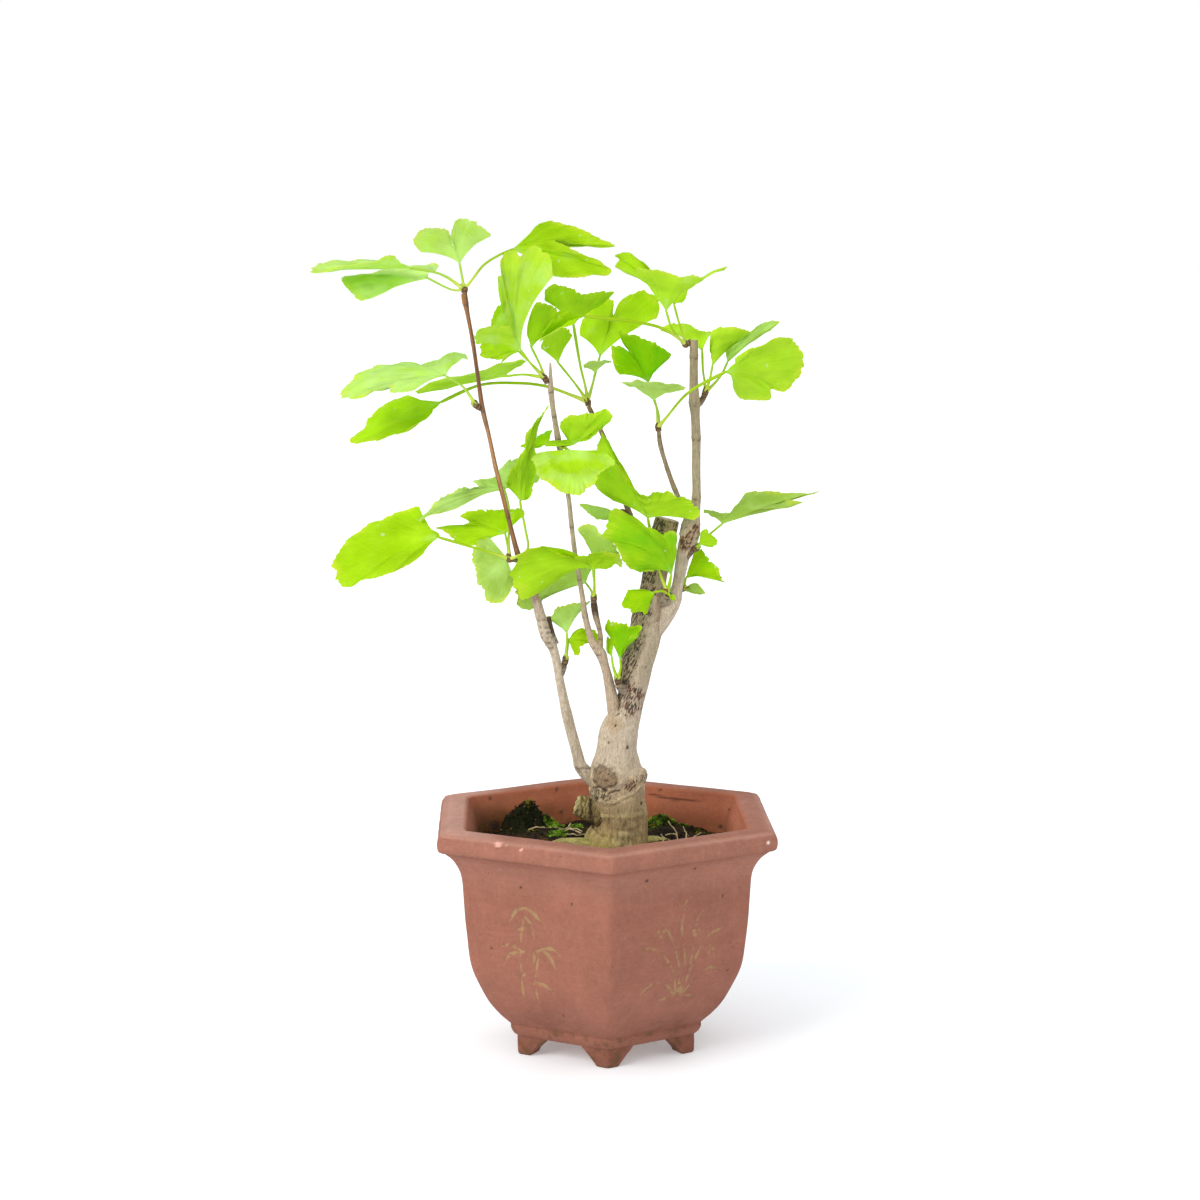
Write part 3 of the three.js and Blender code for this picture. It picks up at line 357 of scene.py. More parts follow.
# ---------------------------------------- the plant: paths of (x, y, z, radius)
TRUNK = [
    (7, 0, 66, 8), (6.8, 0, 82, 12.5), (6.6, 0, 95, 15.6), (6.5, 0, 100, 16), (7.8, 0, 102.5, 14.8),
    (8.5, 0, 106, 13.6), (8.1, 0, 115.5, 13.1), (7, 0, 120.4, 13), (6.2, 0, 124.7, 13.6),
    (6, 0, 130.5, 13.9), (6.1, 0, 136.5, 14.4), (6, 0, 140.6, 12.8), (6.2, 0, 144.6, 11.4),
    (6.4, 0, 149.3, 10.2), (7.6, 0, 157.4, 9.7), (10.4, 0, 166, 8), (12.9, 0, 174.7, 6.8),
    (14.5, 0, 182.8, 7.1), (15.8, 0, 191.3, 7.7), (17.9, 0, 199.4, 8.1), (20.4, 0.5, 208, 8),
    (22, 1, 217, 7.8), (23.4, 1.6, 224.6, 6.9), (24.2, 2, 230.4, 6.3), (25.4, 2, 239.8, 6.3),
    (27, 2, 248, 6.6), (28.9, 2, 255.6, 6.5), (31.1, 2, 264.5, 6.2)]
RIGHT_BRANCH = [
    (24, 0, 208, 4.5), (29.4, 0, 216.5, 5), (34.1, 0, 224.5, 4.2), (35.9, 0, 230.4, 3),
    (38, -0.5, 242.8, 3.2), (39.9, -1, 252.2, 3.7), (41.6, -1, 255.6, 4.9), (42.4, -1.3, 260, 4.8),
    (43, -1.5, 264, 4.3), (44.2, -1.8, 269, 3.1), (45.2, -2, 275, 2.3), (45, -2.5, 290, 2.2),
    (44.9, -3, 304.6, 2.25), (44.5, -3, 316, 2.3), (44.1, -3, 322.4, 2.7), (43.6, -3, 333.2, 2.2),
    (43.6, -3, 353, 2.1)]
LEFT_BRANCH = [
    (-2.3, -1, 131, 4), (-7.6, -2, 136, 3.8), (-11.3, -2.6, 140.2, 3.2), (-14.1, -3.6, 149.6, 2.9),
    (-18.4, -5, 166.5, 2.75), (-21.9, -6.8, 183.3, 2.25), (-24.9, -8.4, 200, 2.25),
    (-28.9, -9.2, 208.6, 2.7), (-31.2, -10, 216.6, 2.5), (-33.5, -10.8, 225, 2.4), (-38.1, -12, 236.6, 2),
    (-42.2, -13.2, 247.8, 1.45), (-46.9, -14.8, 266.6, 1.15), (-52.9, -17.2, 291.4, 1.1),
    (-56.1, -19, 307.6, 1.05), (-58.9, -20.4, 320, 1.2), (-61.2, -22, 336.6, 1.05),
    (-63.4, -23.2, 352.7, 1.05), (-65.8, -24.4, 366.4, 1.1), (-67.1, -25, 373.8, 1.6),
    (-67.3, -25, 375.9, 1.5)]
MIDDLE_BRANCH = [
    (8.4, -1, 158.5, 3.2), (6.8, -1.6, 162.5, 3.5), (5.3, -2, 167, 3.6), (3.9, -3, 174.7, 3.2),
    (2.3, -4, 182.8, 2.6), (0.4, -5.6, 191.3, 2.25), (-2.3, -7.2, 199.4, 2.6), (-6.1, -7.4, 205, 1.9),
    (-9.7, -7, 217.6, 1.5), (-10.6, -6.4, 224.5, 1.35), (-12.5, -5.6, 236.3, 1.15),
    (-14.7, -4.6, 249.2, 1.15), (-16.2, -3.6, 261.5, 1.2), (-17.6, -2.8, 274.4, 1.2),
    (-20.6, -2, 292, 1.25), (-23, -1.2, 305.1, 1.5), (-25.1, 0.8, 317.5, 1.25), (-26.3, 2.4, 327.8, 1.4),
    (-26.7, 4.6, 341.5, 0.4)]
MIDDLE_FORK = [
    (-2.3, -7.2, 198, 1.8), (-2, -8, 208, 1.15), (-4.4, -8.2, 218, 1.5), (-5.3, -8, 224.2, 1.6)]
BACK_BRANCH = [
    (24, 4, 238, 2.6), (21, 9, 247, 2), (18.6, 11, 251.4, 1.7), (12.6, 15, 265.6, 1.5),
    (6.7, 18.6, 283.2, 1.4), (-0.4, 20.6, 303.6, 1.2), (-8, 22, 319.2, 1.1)]
BACK_TWIG = [
    (43, -1, 260.5, 1.8), (39.6, 1.6, 268.6, 1.3), (34.7, 2.8, 279.3, 1.2), (31.2, 3, 288.8, 1.1),
    (27.4, 3, 301.7, 1.1), (26.7, 3, 308, 1)]
SPURS = [
    [(-24.4, -8.2, 203.6, 1.8), (-25.9, -8.6, 207.4, 1.7), (-27.8, -9, 217.4, 1.3)],
    [(-22.8, -7.2, 186.6, 1.8), (-21.3, -7.1, 189.8, 1.7), (-20.2, -7, 192.6, 1.6)],
    [(11.4, -3.4, 178.6, 2.6), (8.2, -6.4, 181.6, 2.1), (6.8, -7.6, 183.4, 1.7)],
    [(30, -1, 222.6, 3.4), (30.6, -4.4, 226, 2.7), (31, -6.4, 227.8, 2.1)],
    [(37.8, -0.4, 243.4, 2.4), (41, -1.2, 247.4, 1.9), (43, -1.6, 249, 1.5)],
    [(44, -2.8, 320.6, 1.9), (46.8, -1.8, 322.6, 1.6), (48.6, -1, 324.8, 1.3)],
    [(-41.4, -13.1, 246, 1.4), (-43.8, -14.2, 246.4, 1.4), (-44.6, -14.5, 246.6, 1.2)],
]
ROOTS = [
    [(2, -4, 99, 4.2), (-7, -5.4, 101.9, 2.8), (-15, -4.6, 102.7, 2.2), (-23, -2, 101.8, 1.8),
     (-30, 1, 98.6, 1.1)],
    [(10, -6, 97, 4.6), (18, -12, 100.2, 3), (25, -16, 100.6, 2.2), (33, -18, 98.4, 1.4)],
    [(14, 4, 97, 4.6), (24, 8, 100.4, 2.8), (33, 11, 98.6, 1.6)],
    [(2, 8, 97, 4.4), (-5, 15, 100.6, 2.8), (-12, 21, 99, 1.7)],
]
STUB = [(-2, -3, 116.5, 6.4), (-9, -4.6, 120, 5.9), (-13, -5.2, 121.4, 5.2), (-13.9, -5.3, 121.7, 4.9)]


# a leaf: its colour from 0 (deep) to 1.4 (dull), how far the blade first follows its stalk, the
# stalk's points up to the blade's base, the rim's points, and the numbers of the rim's sharp
# points
Leaf = namedtuple("Leaf", "tone follow stalk rim cuts", defaults=[()])
Spray = namedtuple("Spray", "name slot bud leaves")
SPRAYS = []


def add_spray(name, slot, place, bud, *leaves):
    """A bunch of leaves on one bud, moved as a whole by `place`."""
    moved = [leaf._replace(stalk=np.add(leaf.stalk, place), rim=np.add(leaf.rim, place))
             for leaf in leaves]
    SPRAYS.append(Spray(name, slot, np.add(bud, place), moved))


add_spray("left_tip", "leaf", (0.7, -13, 0), (-68, -12, 378),
    Leaf(0.9, 0.2, [(-79, -12, 385), (-93, -14, 388)], [(-99, -44, 393), (-117, -40, 391), (-140, -20, 386),
        (-135, 6, 390), (-114, 18, 392)]),
    Leaf(1.0, 0.3, [(-73, -12, 377.5), (-85, -12, 383)], [(-81, 14, 389), (-100, 24, 388), (-125, 14, 383),
        (-126, -8, 381), (-118, -22, 371)]),
    Leaf(0.97, 0.4, [(-69, -12, 384), (-70, -13, 390)], [(-90, -20, 396), (-90, -22, 404), (-77, -22, 407.5),
        (-74.5, -19, 403), (-71, -20, 410), (-61, -15, 409.5), (-54, -9, 405)], [3]),
    Leaf(0.6, 0.3, [(-64.4, -11, 382.2), (-58.9, -6, 389.3), (-51.8, -1, 394), (-45.4, 4, 396.8)],
        [(-31, 10, 411), (-16, 18, 408), (3, 22, 398), (-28, 10, 402), (-6, 6, 392), (3, 8, 386),
        (-12, 4, 383), (-24, 2, 383)], [3]))
add_spray("left_middle", "leaf", (0.5, -10, 0.5), (-62.8, -12.2, 322),
    Leaf(0.95, 0.3, [(-68.9, -13, 330.8), (-77, -14, 336)], [(-66, 8, 345), (-73, 16, 347), (-90, 22, 340),
        (-104, 18, 341), (-121, 6, 336), (-129, -8, 326), (-116, -20, 327), (-105, -16, 332),
        (-102, -28, 329), (-92, -33, 330)], [7]))
add_spray("middle_tip", "leaf", (0.1, 3.6, -0.2), (-29.8, -0.6, 334.6),
    Leaf(0.6, 0.3, [(-40, 0, 336), (-49, 2, 335)], [(-38, 22, 342), (-50, 34, 341), (-66, 36, 335),
        (-84, 28, 331), (-95, 12, 325)]),
    Leaf(0.75, 0.45, [(-35.5, -3, 340.5), (-41, -4, 348)], [(-65, -6, 351), (-62, -10, 356),
        (-56.5, -12, 358), (-45.5, -10, 359), (-49, -16, 386), (-48, -18, 395), (-44.5, -18, 397),
        (-41, -18, 392.5), (-35, -20, 397.5), (-27, -22, 394), (-24, -22, 386)], [3, 7]),
    Leaf(0.72, 0.3, [(-36, 1, 341), (-42, 2, 347)], [(-54, -2, 339), (-49, 0, 345.5), (-54, 2, 344),
        (-59, 2, 344), (-60, 2, 349), (-57, 2, 358), (-54, 4, 366), (-49, 8, 377), (-53, 10, 383),
        (-45, 14, 386)], [1]),
    Leaf(0.3, 0.3, [(-31.5, 0, 340), (-36, 2, 349)], [(-39, -2, 360), (-34, -2, 371.5), (-29, 2, 371),
        (-24, 6, 368), (-24, 10, 358)]))
add_spray("back_tip", "leaf", (-0.4, 14, -0.8), (-8, 8, 322.2),
    Leaf(0.45, 0.3, [(-15, 8, 325), (-29, 6, 330), (-44, -2, 332), (-61, -2, 331), (-80, -6, 323)],
        [(-88, -16, 315), (-97, -18, 309), (-113, -14, 303.5), (-124, -8, 303), (-119, 2, 312),
        (-111, 8, 319), (-102, 12, 326)]),
    Leaf(0.4, 0.35, [(-9, 7, 329), (-11.6, 5, 340), (-15, 2, 360.5)], [(-31, -2, 374), (-27.5, -4, 379.5),
        (-21, -6, 381), (-12, -4, 377), (-2.3, 0, 376.5), (4.5, 4, 375.5), (-0.3, 8, 370)]),
    Leaf(0.4, 0.3, [(-14, 4, 331), (-22.5, -2, 342)], [(-33, -8, 351), (-28, -8, 357), (-23, -6, 360),
        (-18, -2, 359), (-13.5, 2, 357)]),
    Leaf(0.6, 0.35, [(-5, 7, 333), (-2, 6, 344.6)], [(-13, 16, 356), (-9, 18, 364), (-1.5, 16, 372),
        (4.5, 14, 373.5), (5, 12, 365.5), (8.5, 14, 372), (20.5, 16, 377), (27, 12, 370.5), (28.5, 8, 365)],
        [4]),
    Leaf(1.3, 0.4, [(-6, 5, 329), (-4.3, 1, 337)], [(-11, -6, 341), (-6, -22, 343), (-2, -26, 344),
        (2, -18, 344), (4, -4, 344)]))
add_spray("back_twig", "leaf", (0, 0, 0), (26.5, 3, 310.2),
    Leaf(0.1, 0.4, [(25.5, 2, 320), (21.5, 0, 332)], [(4.8, -8, 337), (4.3, -10, 349.5), (7.8, -9, 350),
        (12.4, -5, 347), (6.3, -6, 357), (17.3, -2, 354), (30, 2, 347.5), (32.5, 3, 344.5), (29.5, 2, 342)],
        [3]),
    Leaf(1.3, 0.35, [(26.4, 1, 317), (24.2, -1, 323.4)], [(7, -10, 333), (15, -34, 334), (23, -40, 334),
        (32.5, -34, 332.5), (40.5, -12, 330)]),
    Leaf(0.55, 0.35, [(30, -3, 314.8), (41, -9, 327.8), (58.5, -12, 337.7)], [(64.5, -20, 345),
        (75, -22, 350.5), (84.5, -20, 354), (92, -16, 353), (97.5, -8, 343), (93.5, -2, 334), (89.5, 2, 329),
        (82, 4, 329), (80.5, 6, 324), (68, 8, 324), (64, 8, 328)]))
add_spray("right_tip", "leaf", (0, 0, 0), (39.4, -3, 351),
    Leaf(0.4, 0.3, [(36.5, -6, 353.5), (27.6, -12, 359), (15.9, -18, 362), (-9.6, -22, 365)],
        [(-22.5, -26, 369), (-25.5, -26, 364), (-29.5, -24, 357), (-32, -22, 352), (-25, -30, 358),
        (-16, -34, 362)]),
    Leaf(0.68, 0.35, [(36.4, -3.4, 354), (33, -4, 358), (30, -4, 367)], [(13.5, -14, 386.7),
        (20.8, -18, 385.6), (32.7, -20, 385.1), (43.8, -18, 384.1), (50.3, -14, 384.1), (57.7, -10, 387.5),
        (60.2, -8, 388.4)]),
    Leaf(0.6, 0.3, [(38.6, -0.5, 354.5), (36.5, 2, 361), (34, 3, 370)], [(12.4, 10, 386.5), (6, 14, 388),
        (7.5, 14, 391), (5, 15, 393.6), (8, 15, 395.8), (11.5, 14, 396.1), (16.4, 12, 392.4),
        (22.1, 10, 386), (32, 8, 382), (40, 6, 376.5), (40.4, 4, 371.8)]))
add_spray("right_upper", "leaf", (0, 0, 0), (49.3, 0, 326.8),
    Leaf(0.65, 0.3, [(49.2, 2.5, 332), (48.4, 4, 337.6), (48, 5, 347.3)], [(25.8, 8, 358.6),
        (33.8, 16, 359.8), (38.9, 20, 360.2), (46.8, 20, 358.2), (54.1, 16, 357.8)]),
    Leaf(0.6, 0.3, [(51.6, -1, 333.8), (52.7, -2, 340.2)], [(50.6, -5, 351.2), (52.4, -9, 358.4),
        (60.2, -12, 359.9), (66.7, -12, 359.2), (72.4, -8, 358.6), (63, -5, 351.6)]),
    Leaf(1.2, 0.25, [(57, 4, 335), (60.3, 4, 341.6)], [(58.6, 5, 348.9), (65.3, 7, 353.2), (73.6, 9, 357.9),
        (78.7, 10, 361), (84.9, 11, 362.3), (87, 11, 362), (82, 9, 357.8), (76.1, 8, 355.4)]))
add_spray("left_lower", "leaf", (0.3, -5, 0.6), (-46.9, -10, 246.2),
    Leaf(0.5, 0.3, [(-56, -12.6, 249.6), (-66.3, -14, 252.8), (-80.9, -15, 257.3)], [(-79.9, -14, 260.1),
        (-85.5, -12, 260.9), (-90.7, -10, 264.1), (-91.4, -8, 271.8), (-95.7, -8, 270.8), (-105.2, -10, 268),
        (-116.6, -14, 262.5), (-126.5, -18, 254.3), (-132.1, -22, 243.3), (-129.8, -24, 241.3),
        (-130.1, -26, 236.2), (-125.2, -28, 234.4), (-118.5, -28, 237.6), (-110.3, -28, 239.5),
        (-102.7, -26, 241.7), (-96.6, -22, 244), (-90.2, -19, 247.8)], [3, 14]),
    Leaf(0.5, 0.3, [(-47.8, -7, 252), (-49, -5, 257.6)], [(-37.9, 2, 267.3), (-40.9, 4, 268.9),
        (-45.9, 6, 269.1), (-58.8, 6, 268.4), (-72.1, 4, 266.1), (-66, 2, 262.5), (-83.2, 0, 260.2),
        (-78, -4, 258.5), (-70.6, -6, 252.9), (-64.8, -6, 251.5)], [6]),
    Leaf(1.3, 0, [(-48.4, -9.6, 247)], [(-58.1, -6, 258.1), (-64.7, -6, 251.2), (-64.7, -5, 244.9),
        (-63.1, -6, 236.4), (-60.2, -7, 230.4), (-56.6, -8, 224.6), (-50.3, -8.6, 226.2),
        (-43.6, -8, 232.6)]),
    Leaf(1.15, 0.2, [(-47.4, -6, 254), (-47.2, -5, 262), (-47.3, -4, 271), (-49.5, -3, 279.6)],
        [(-74.5, -12, 270.3), (-85.8, -14, 267.5), (-90.2, -14, 265.5), (-82.3, -12, 273.6),
        (-74.3, -10, 278.4), (-63.1, -6, 281.4), (-65, -2, 285), (-54.7, 2, 285.1), (-51.5, 6, 289.2),
        (-43.5, 8, 294), (-32, 4, 290.4), (-31, 0, 283.3)], [3]),
    Leaf(0.45, 0.5, [(-43.4, -12.6, 247.6), (-38, -11.4, 251), (-39, -9, 260.4), (-41, -7, 270),
        (-41.6, -6, 273.6)], [(-49.8, -8, 283), (-46.1, -10, 289.2), (-42.9, -11, 295.6),
        (-38.9, -11, 300.5), (-37.4, -10, 307.7), (-34.6, -9, 313.3), (-28.1, -8, 320.9), (-33.9, -4, 304.9),
        (-33.6, -3, 289.2), (-36, -3, 281.1), (-36, -4, 275.3)], [6]))
add_spray("middle_fork", "leaf", (0, 0, 0), (-5.3, -8, 226.4),
    Leaf(0.35, 0.65, [(-5, -11, 233), (-5.7, -13, 240.4)], [(3.1, -14, 241.5), (5, -16, 243.8),
        (6, -18, 247.4), (4.5, -20, 249.4), (-9.1, -20, 249.6), (-13.7, -19, 249), (-15.4, -18, 247.4),
        (-22.4, -20, 249.2), (-28.6, -21, 252.4), (-34.6, -21, 253.3), (-40.2, -20, 251),
        (-43.2, -18, 247.5), (-45, -17, 238.5), (-43.4, -17, 232.6), (-40.3, -17, 227.3),
        (-35.7, -17, 228.2), (-32, -17, 230.8)], [6]),
    Leaf(1.25, 0.3, [(-5, -8.6, 234), (-5.3, -9, 246)], [(-14.5, -10, 262.8), (-8.6, -12, 263),
        (-5.2, -13, 261.9), (-0.8, -14, 258.5), (4.4, -14, 253.7), (8, -13, 248.2), (10.5, -11, 241.4)]),
    Leaf(1.3, 0.25, [(-6.6, -4, 229.6), (-9.2, 0.6, 232.7)], [(-35.3, -2.6, 222.4), (-39.5, -3, 219.9),
        (-43.6, -4, 223.4), (-44, -4, 228), (-40, -3, 236), (-32, -1, 242), (-20, 1, 245), (-10, 2, 243),
        (-5.8, 2, 241.3)]))
add_spray("left_spur", "leaf", (0, -2.4, 0.4), (-19.4, -4.7, 194.6),
    Leaf(1.15, 0.4, [(-18.7, -3.6, 203), (-18.7, -3, 208)], [(-29.5, -4, 216.1), (-26.6, -2, 216.9),
        (-24, 0, 220), (-18.7, 2, 221.7), (-12.3, 3, 222), (-7.3, 4, 222.4), (-12.2, 1, 218.9)], [5]),
    Leaf(0.5, 0.3, [(-18.4, -3, 200), (-18, -2, 204)], [(-14.9, 0, 209.4), (-11.7, 1, 210.3),
        (-9.3, 1, 209.8), (-3.3, 2, 208.7), (-3, 2, 202.8), (-8.5, 1, 202.9), (-11.2, 0, 201.4),
        (-12.7, -1, 197.9), (-13.9, -2, 194.6)]))
add_spray("trunk_spur", "leaf_pale", (0, 0, 0), (6.4, -8.4, 185.6),
    Leaf(0.2, 0.4, [(8, -9.4, 192), (7.7, -9.6, 195.6)], [(-1, -3, 211.9), (2.7, -6, 214.9),
        (5.9, -9, 215.4), (12.9, -12, 213.6), (18.1, -13.5, 212.8), (17.7, -13.5, 210.4), (13.4, -13, 207.8),
        (9.9, -12, 204.8)]),
    Leaf(0.5, 0.3, [(4.2, -8, 192.6), (3.6, -7, 196.6)], [(0.8, -4.2, 199.8), (0.9, -2.8, 203.2),
        (1.8, -2.2, 206), (5, -4, 206)]))
add_spray("fork", "leaf", (0, 0, 0), (31.1, -8.3, 229.2),
    Leaf(0.2, 0.6, [(32.7, -11, 238.2)], [(35, -12, 250.1), (35.7, -14, 255.6), (35.2, -15, 258.9),
        (32.9, -15, 259.7), (29.4, -16, 259), (24.8, -18, 261.8), (21.6, -19, 262.8), (18.6, -19, 262.4),
        (10.8, -22, 269.7), (8.4, -23, 270.9), (4.3, -23, 271.4), (2.5, -22, 270.2), (1.1, -20, 264.3),
        (-0.6, -18, 258.1), (3.8, -18, 254.8), (7.9, -18, 248.4), (10.9, -17, 243.9), (17.8, -15, 240.7),
        (21.3, -14, 242.2)], [8]),
    Leaf(0.3, 0.4, [(27.6, -11.4, 230.4), (25, -13, 230.2)], [(17.8, -14, 231.3), (12, -15, 230.9),
        (10.3, -15, 229.5), (9.5, -15, 225.6), (10, -15, 223), (12, -15, 222.6), (12.9, -15, 219.8),
        (17.9, -15, 220.3), (19.3, -15, 219.1), (21.1, -15, 219.8), (21.6, -14, 224.4)], [8]),
    Leaf(0.4, 0.25, [(27.6, -8.8, 238), (24, -9.8, 252), (21.2, -11, 266.2)], [(46, -10, 265.2),
        (47, -10, 268.8), (43.8, -11, 273.2), (38.8, -12, 276.7), (34.9, -13, 278.8), (29.4, -14, 279.8),
        (24.6, -14, 279.3), (21.2, -14, 277.6), (17.3, -14, 278.6), (9.9, -12, 287.2), (7.8, -10, 292.3),
        (5.1, -9, 296.9), (-1.8, -9, 309.4), (-4.6, -8, 295), (-5.2, -10, 282.9), (1.8, -11, 276)], [7, 12]),
    Leaf(0.5, 0.3, [(31.8, -10.2, 228.4)], [(31.5, -12, 225.6), (35.6, -12, 225.4), (36, -11.6, 229)]))
add_spray("middle_spur", "leaf", (0, 0, 0), (-21.6, -5.2, 301.4),
    Leaf(0.75, 0.2, [(-17.9, -8, 299.8)], [(-34.6, -12, 298.8), (-36.3, -14, 296.5), (-34.1, -18, 292.7),
        (-31.4, -22, 287.4), (-27.5, -24, 285.5), (-23, -27, 282.3), (-18.7, -28, 280.6),
        (-13.1, -28, 280.1), (-9, -26, 282.7), (-5.2, -25, 284.1), (-2.5, -22, 288.7), (5, -18, 293.7),
        (2.6, -15, 297.6), (-1.8, -13, 299.7)]),
    Leaf(0.4, 0.2, [(-15.8, -9, 302.4)], [(-31.5, -10, 300.9), (-28.6, -11, 303.9), (-18.8, -11, 305.4),
        (-22, -12, 311.2), (-21.2, -13, 315.4), (-18.3, -14, 317.2), (-9.1, -14, 317.7), (-5.1, -13, 317.2),
        (0.6, -12, 319.9), (3.3, -12, 316.8), (-0.8, -11, 310.8), (-7.6, -11, 306.4)], [2]),
    Leaf(0.2, 0.3, [(-25.2, -4.6, 302), (-27.4, -1, 302.4)], [(-25.4, 7, 310), (-33.5, 7, 304.6),
        (-41.4, 4, 300.2), (-33.8, 2, 298.9)]))
add_spray("right_middle", "leaf", (0, 0, 0), (45, -2, 250.4),
    Leaf(1.35, 0.2, [(48.4, 0, 254), (53.3, 1, 258.2), (58.4, 2, 262.3)], [(47.6, 6, 269.4), (51.9, 8, 269),
        (56.2, 10, 267.3), (62.8, 10, 266.8), (67.2, 16, 271.7), (71.3, 20, 275.9), (77.7, 24, 276.7),
        (92.3, 26, 273.8), (107.2, 20, 276), (92.1, 14, 273.3), (97.4, 10, 271.6), (85.5, 6, 270.6),
        (74.8, 4, 269.1)], [3, 9]),
    Leaf(0.38, 0.3, [(46.6, -3.6, 252.4)], [(47, -5, 260.6), (49.7, -7, 260.2), (53.8, -9, 257.6),
        (56.3, -9, 254.8), (54.8, -9, 252), (51.4, -7, 251.5)]))
add_spray("fork_back", "leaf_deep", (0, 0, 0), (38.9, 4.4, 229.5),
    Leaf(0.3, 0.4, [(40.4, 4, 234.6)], [(43.3, 5, 242.2), (45.3, 6, 248.3), (48.8, 6, 249.3),
        (51.3, 4, 245.1), (54.8, 2, 239.4), (60, -2, 233.2), (53.7, 2, 237)]),
    Leaf(1.35, 0.2, [(40.2, 4.4, 228.8)], [(41.6, 4, 231.6), (44.6, 4, 232.2), (48.3, 4, 230.8),
        (51.3, 3, 227), (43.8, 3, 226.6)]))
add_spray("back_spur", "leaf_deep", (0, 4, -0.4), (8.8, 9.6, 267.2),
    Leaf(1.2, 0.3, [(5.6, 9, 266.8)], [(0.4, 14, 268.6), (-6.4, 12, 269.9), (-11.8, 9, 270),
        (-3.3, 4, 265.6), (1.4, 4, 264.4)]))


# ---------------------------------------- leaves
MARGIN_STEP = 0.62  # between two columns of a blade at its margin
ROW_STEP = 1.5
TOOTH = 2.9  # width of a rounded tooth of the margin
TOOTH_DEPTH = 1.0
BLADE_HALF = 0.26
CORNER_DEPTH, CORNER_RUN = 2.4, 5.0  # how the ends of the margin round off
SEED_STEP = 2.7  # between two leaves of a bunch


def margin_line(rim, cuts):
    """The margin, its sharp points kept, as 8k + 1 columns, and its run."""
    ends = [0, *cuts, len(rim) - 1]
    line, corners = [rim[:1]], [0]
    for first, last in zip(ends[:-1], ends[1:]):
        line.append(curve(rim[first : last + 1], 0.3, 8)[1:])
        corners.append(corners[-1] + len(line[-1]))
    line = np.vstack(line)
    run = run_of(line)
    at = np.linspace(0, run[-1], 8 * max(3, round(run[-1] / MARGIN_STEP / 8)) + 1)
    for corner in corners:
        at[np.argmin(np.abs(at - run[corner]))] = run[corner]
    return np.stack([np.interp(at, run, line[:, axis]) for axis in range(3)], axis=1), at


def teeth(run, seed):
    """How far the margin stands out along its run, in shares of the tooth depth."""
    def along(size, key):
        return noise(np.stack([run, 0 * run + seed, 0 * run], axis=1), size, key)

    lobe = np.abs(np.sin(np.pi * (run / TOOTH + 0.55 * along(6, 3)))) ** 0.8 - 0.6
    lobe = lobe * (0.5 + 0.5 * along(9, 5)) + 0.8 * along(4.5, 7) + along(11, 8)
    count = run / 8 + 0.7 * along(7, 11)
    cell = np.floor(count)
    snag = (count - cell - 0.5) * (1 + cell_value(cell.astype(int), int(seed), 3, 12))
    return (lobe + snag) * ease(0, 3, run) * ease(0, 3, run[-1] - run)


def blade(shell, leaf, knots, seed):
    """A fan of veins from the last of the stalk's knots to the rim."""
    *_, before, base = knots
    edge, run = margin_line(leaf.rim, leaf.cuts)
    corner = np.minimum(run, run[-1] - run)
    pulled = CORNER_DEPTH * np.maximum(0, 1 - corner / CORNER_RUN) ** 2
    edge = edge + unit(edge - base) * (TOOTH_DEPTH * teeth(run, seed) - pulled)[:, None]
    span = edge - base
    reach = np.linalg.norm(span, axis=1)
    rows = 8 * max(1, round(reach.mean() / ROW_STEP / 8)) + 1
    share = np.linspace(0, 1, rows)[:, None, None]
    followed = leaf.follow * reach[:, None] * unit(base - before)
    handle = base + 0.5 * (1 - leaf.follow) * span + 0.5 * followed
    middle = (1 - share) ** 2 * base + 2 * share * (1 - share) * handle + share**2 * edge
    normal = np.cross(np.gradient(middle, axis=1), np.gradient(middle, axis=0))
    normal[0] = normal[1:].reshape(-1, 3).sum(0)
    normal = unit(normal)
    share, run = np.broadcast_arrays(share[..., 0], run)
    place = np.stack([share * 9, run / 9, seed + 0 * run], -1)
    wave = 0.6 * share**2 * np.sin(run / 2.1 + seed) * (0.5 + 0.5 * noise(place, 1.4, 21))
    wave = wave + 1.7 * share**1.5 * noise(place, 1.5, 23)
    wave = wave + 0.06 * np.sin(2 * np.pi * run / 1.9) * ease(0.1, 0.6, share)
    facing = 1.0 if normal[..., 2].mean() < 0 else 0.0
    half = BLADE_HALF * (1 - 0.5 * ease(0.7, 1, share))
    number, faces, outline = blade_faces(*share.shape)
    keep = number >= 0
    count = keep.sum()
    sides = [(middle + normal * (wave + sign * half)[..., None])[keep] for sign in (1, -1)]
    band = np.array([(b, a, count + a, count + b) for a, b in outline])
    shell.add(np.vstack(sides), [faces, faces[:, ::-1] + count, band], tone=leaf.tone, seed=seed,
              share=np.tile(share[keep], 2), vein=np.tile(run[keep], 2), stalk=0.0,
              under=np.repeat([facing, 1 - facing], count))


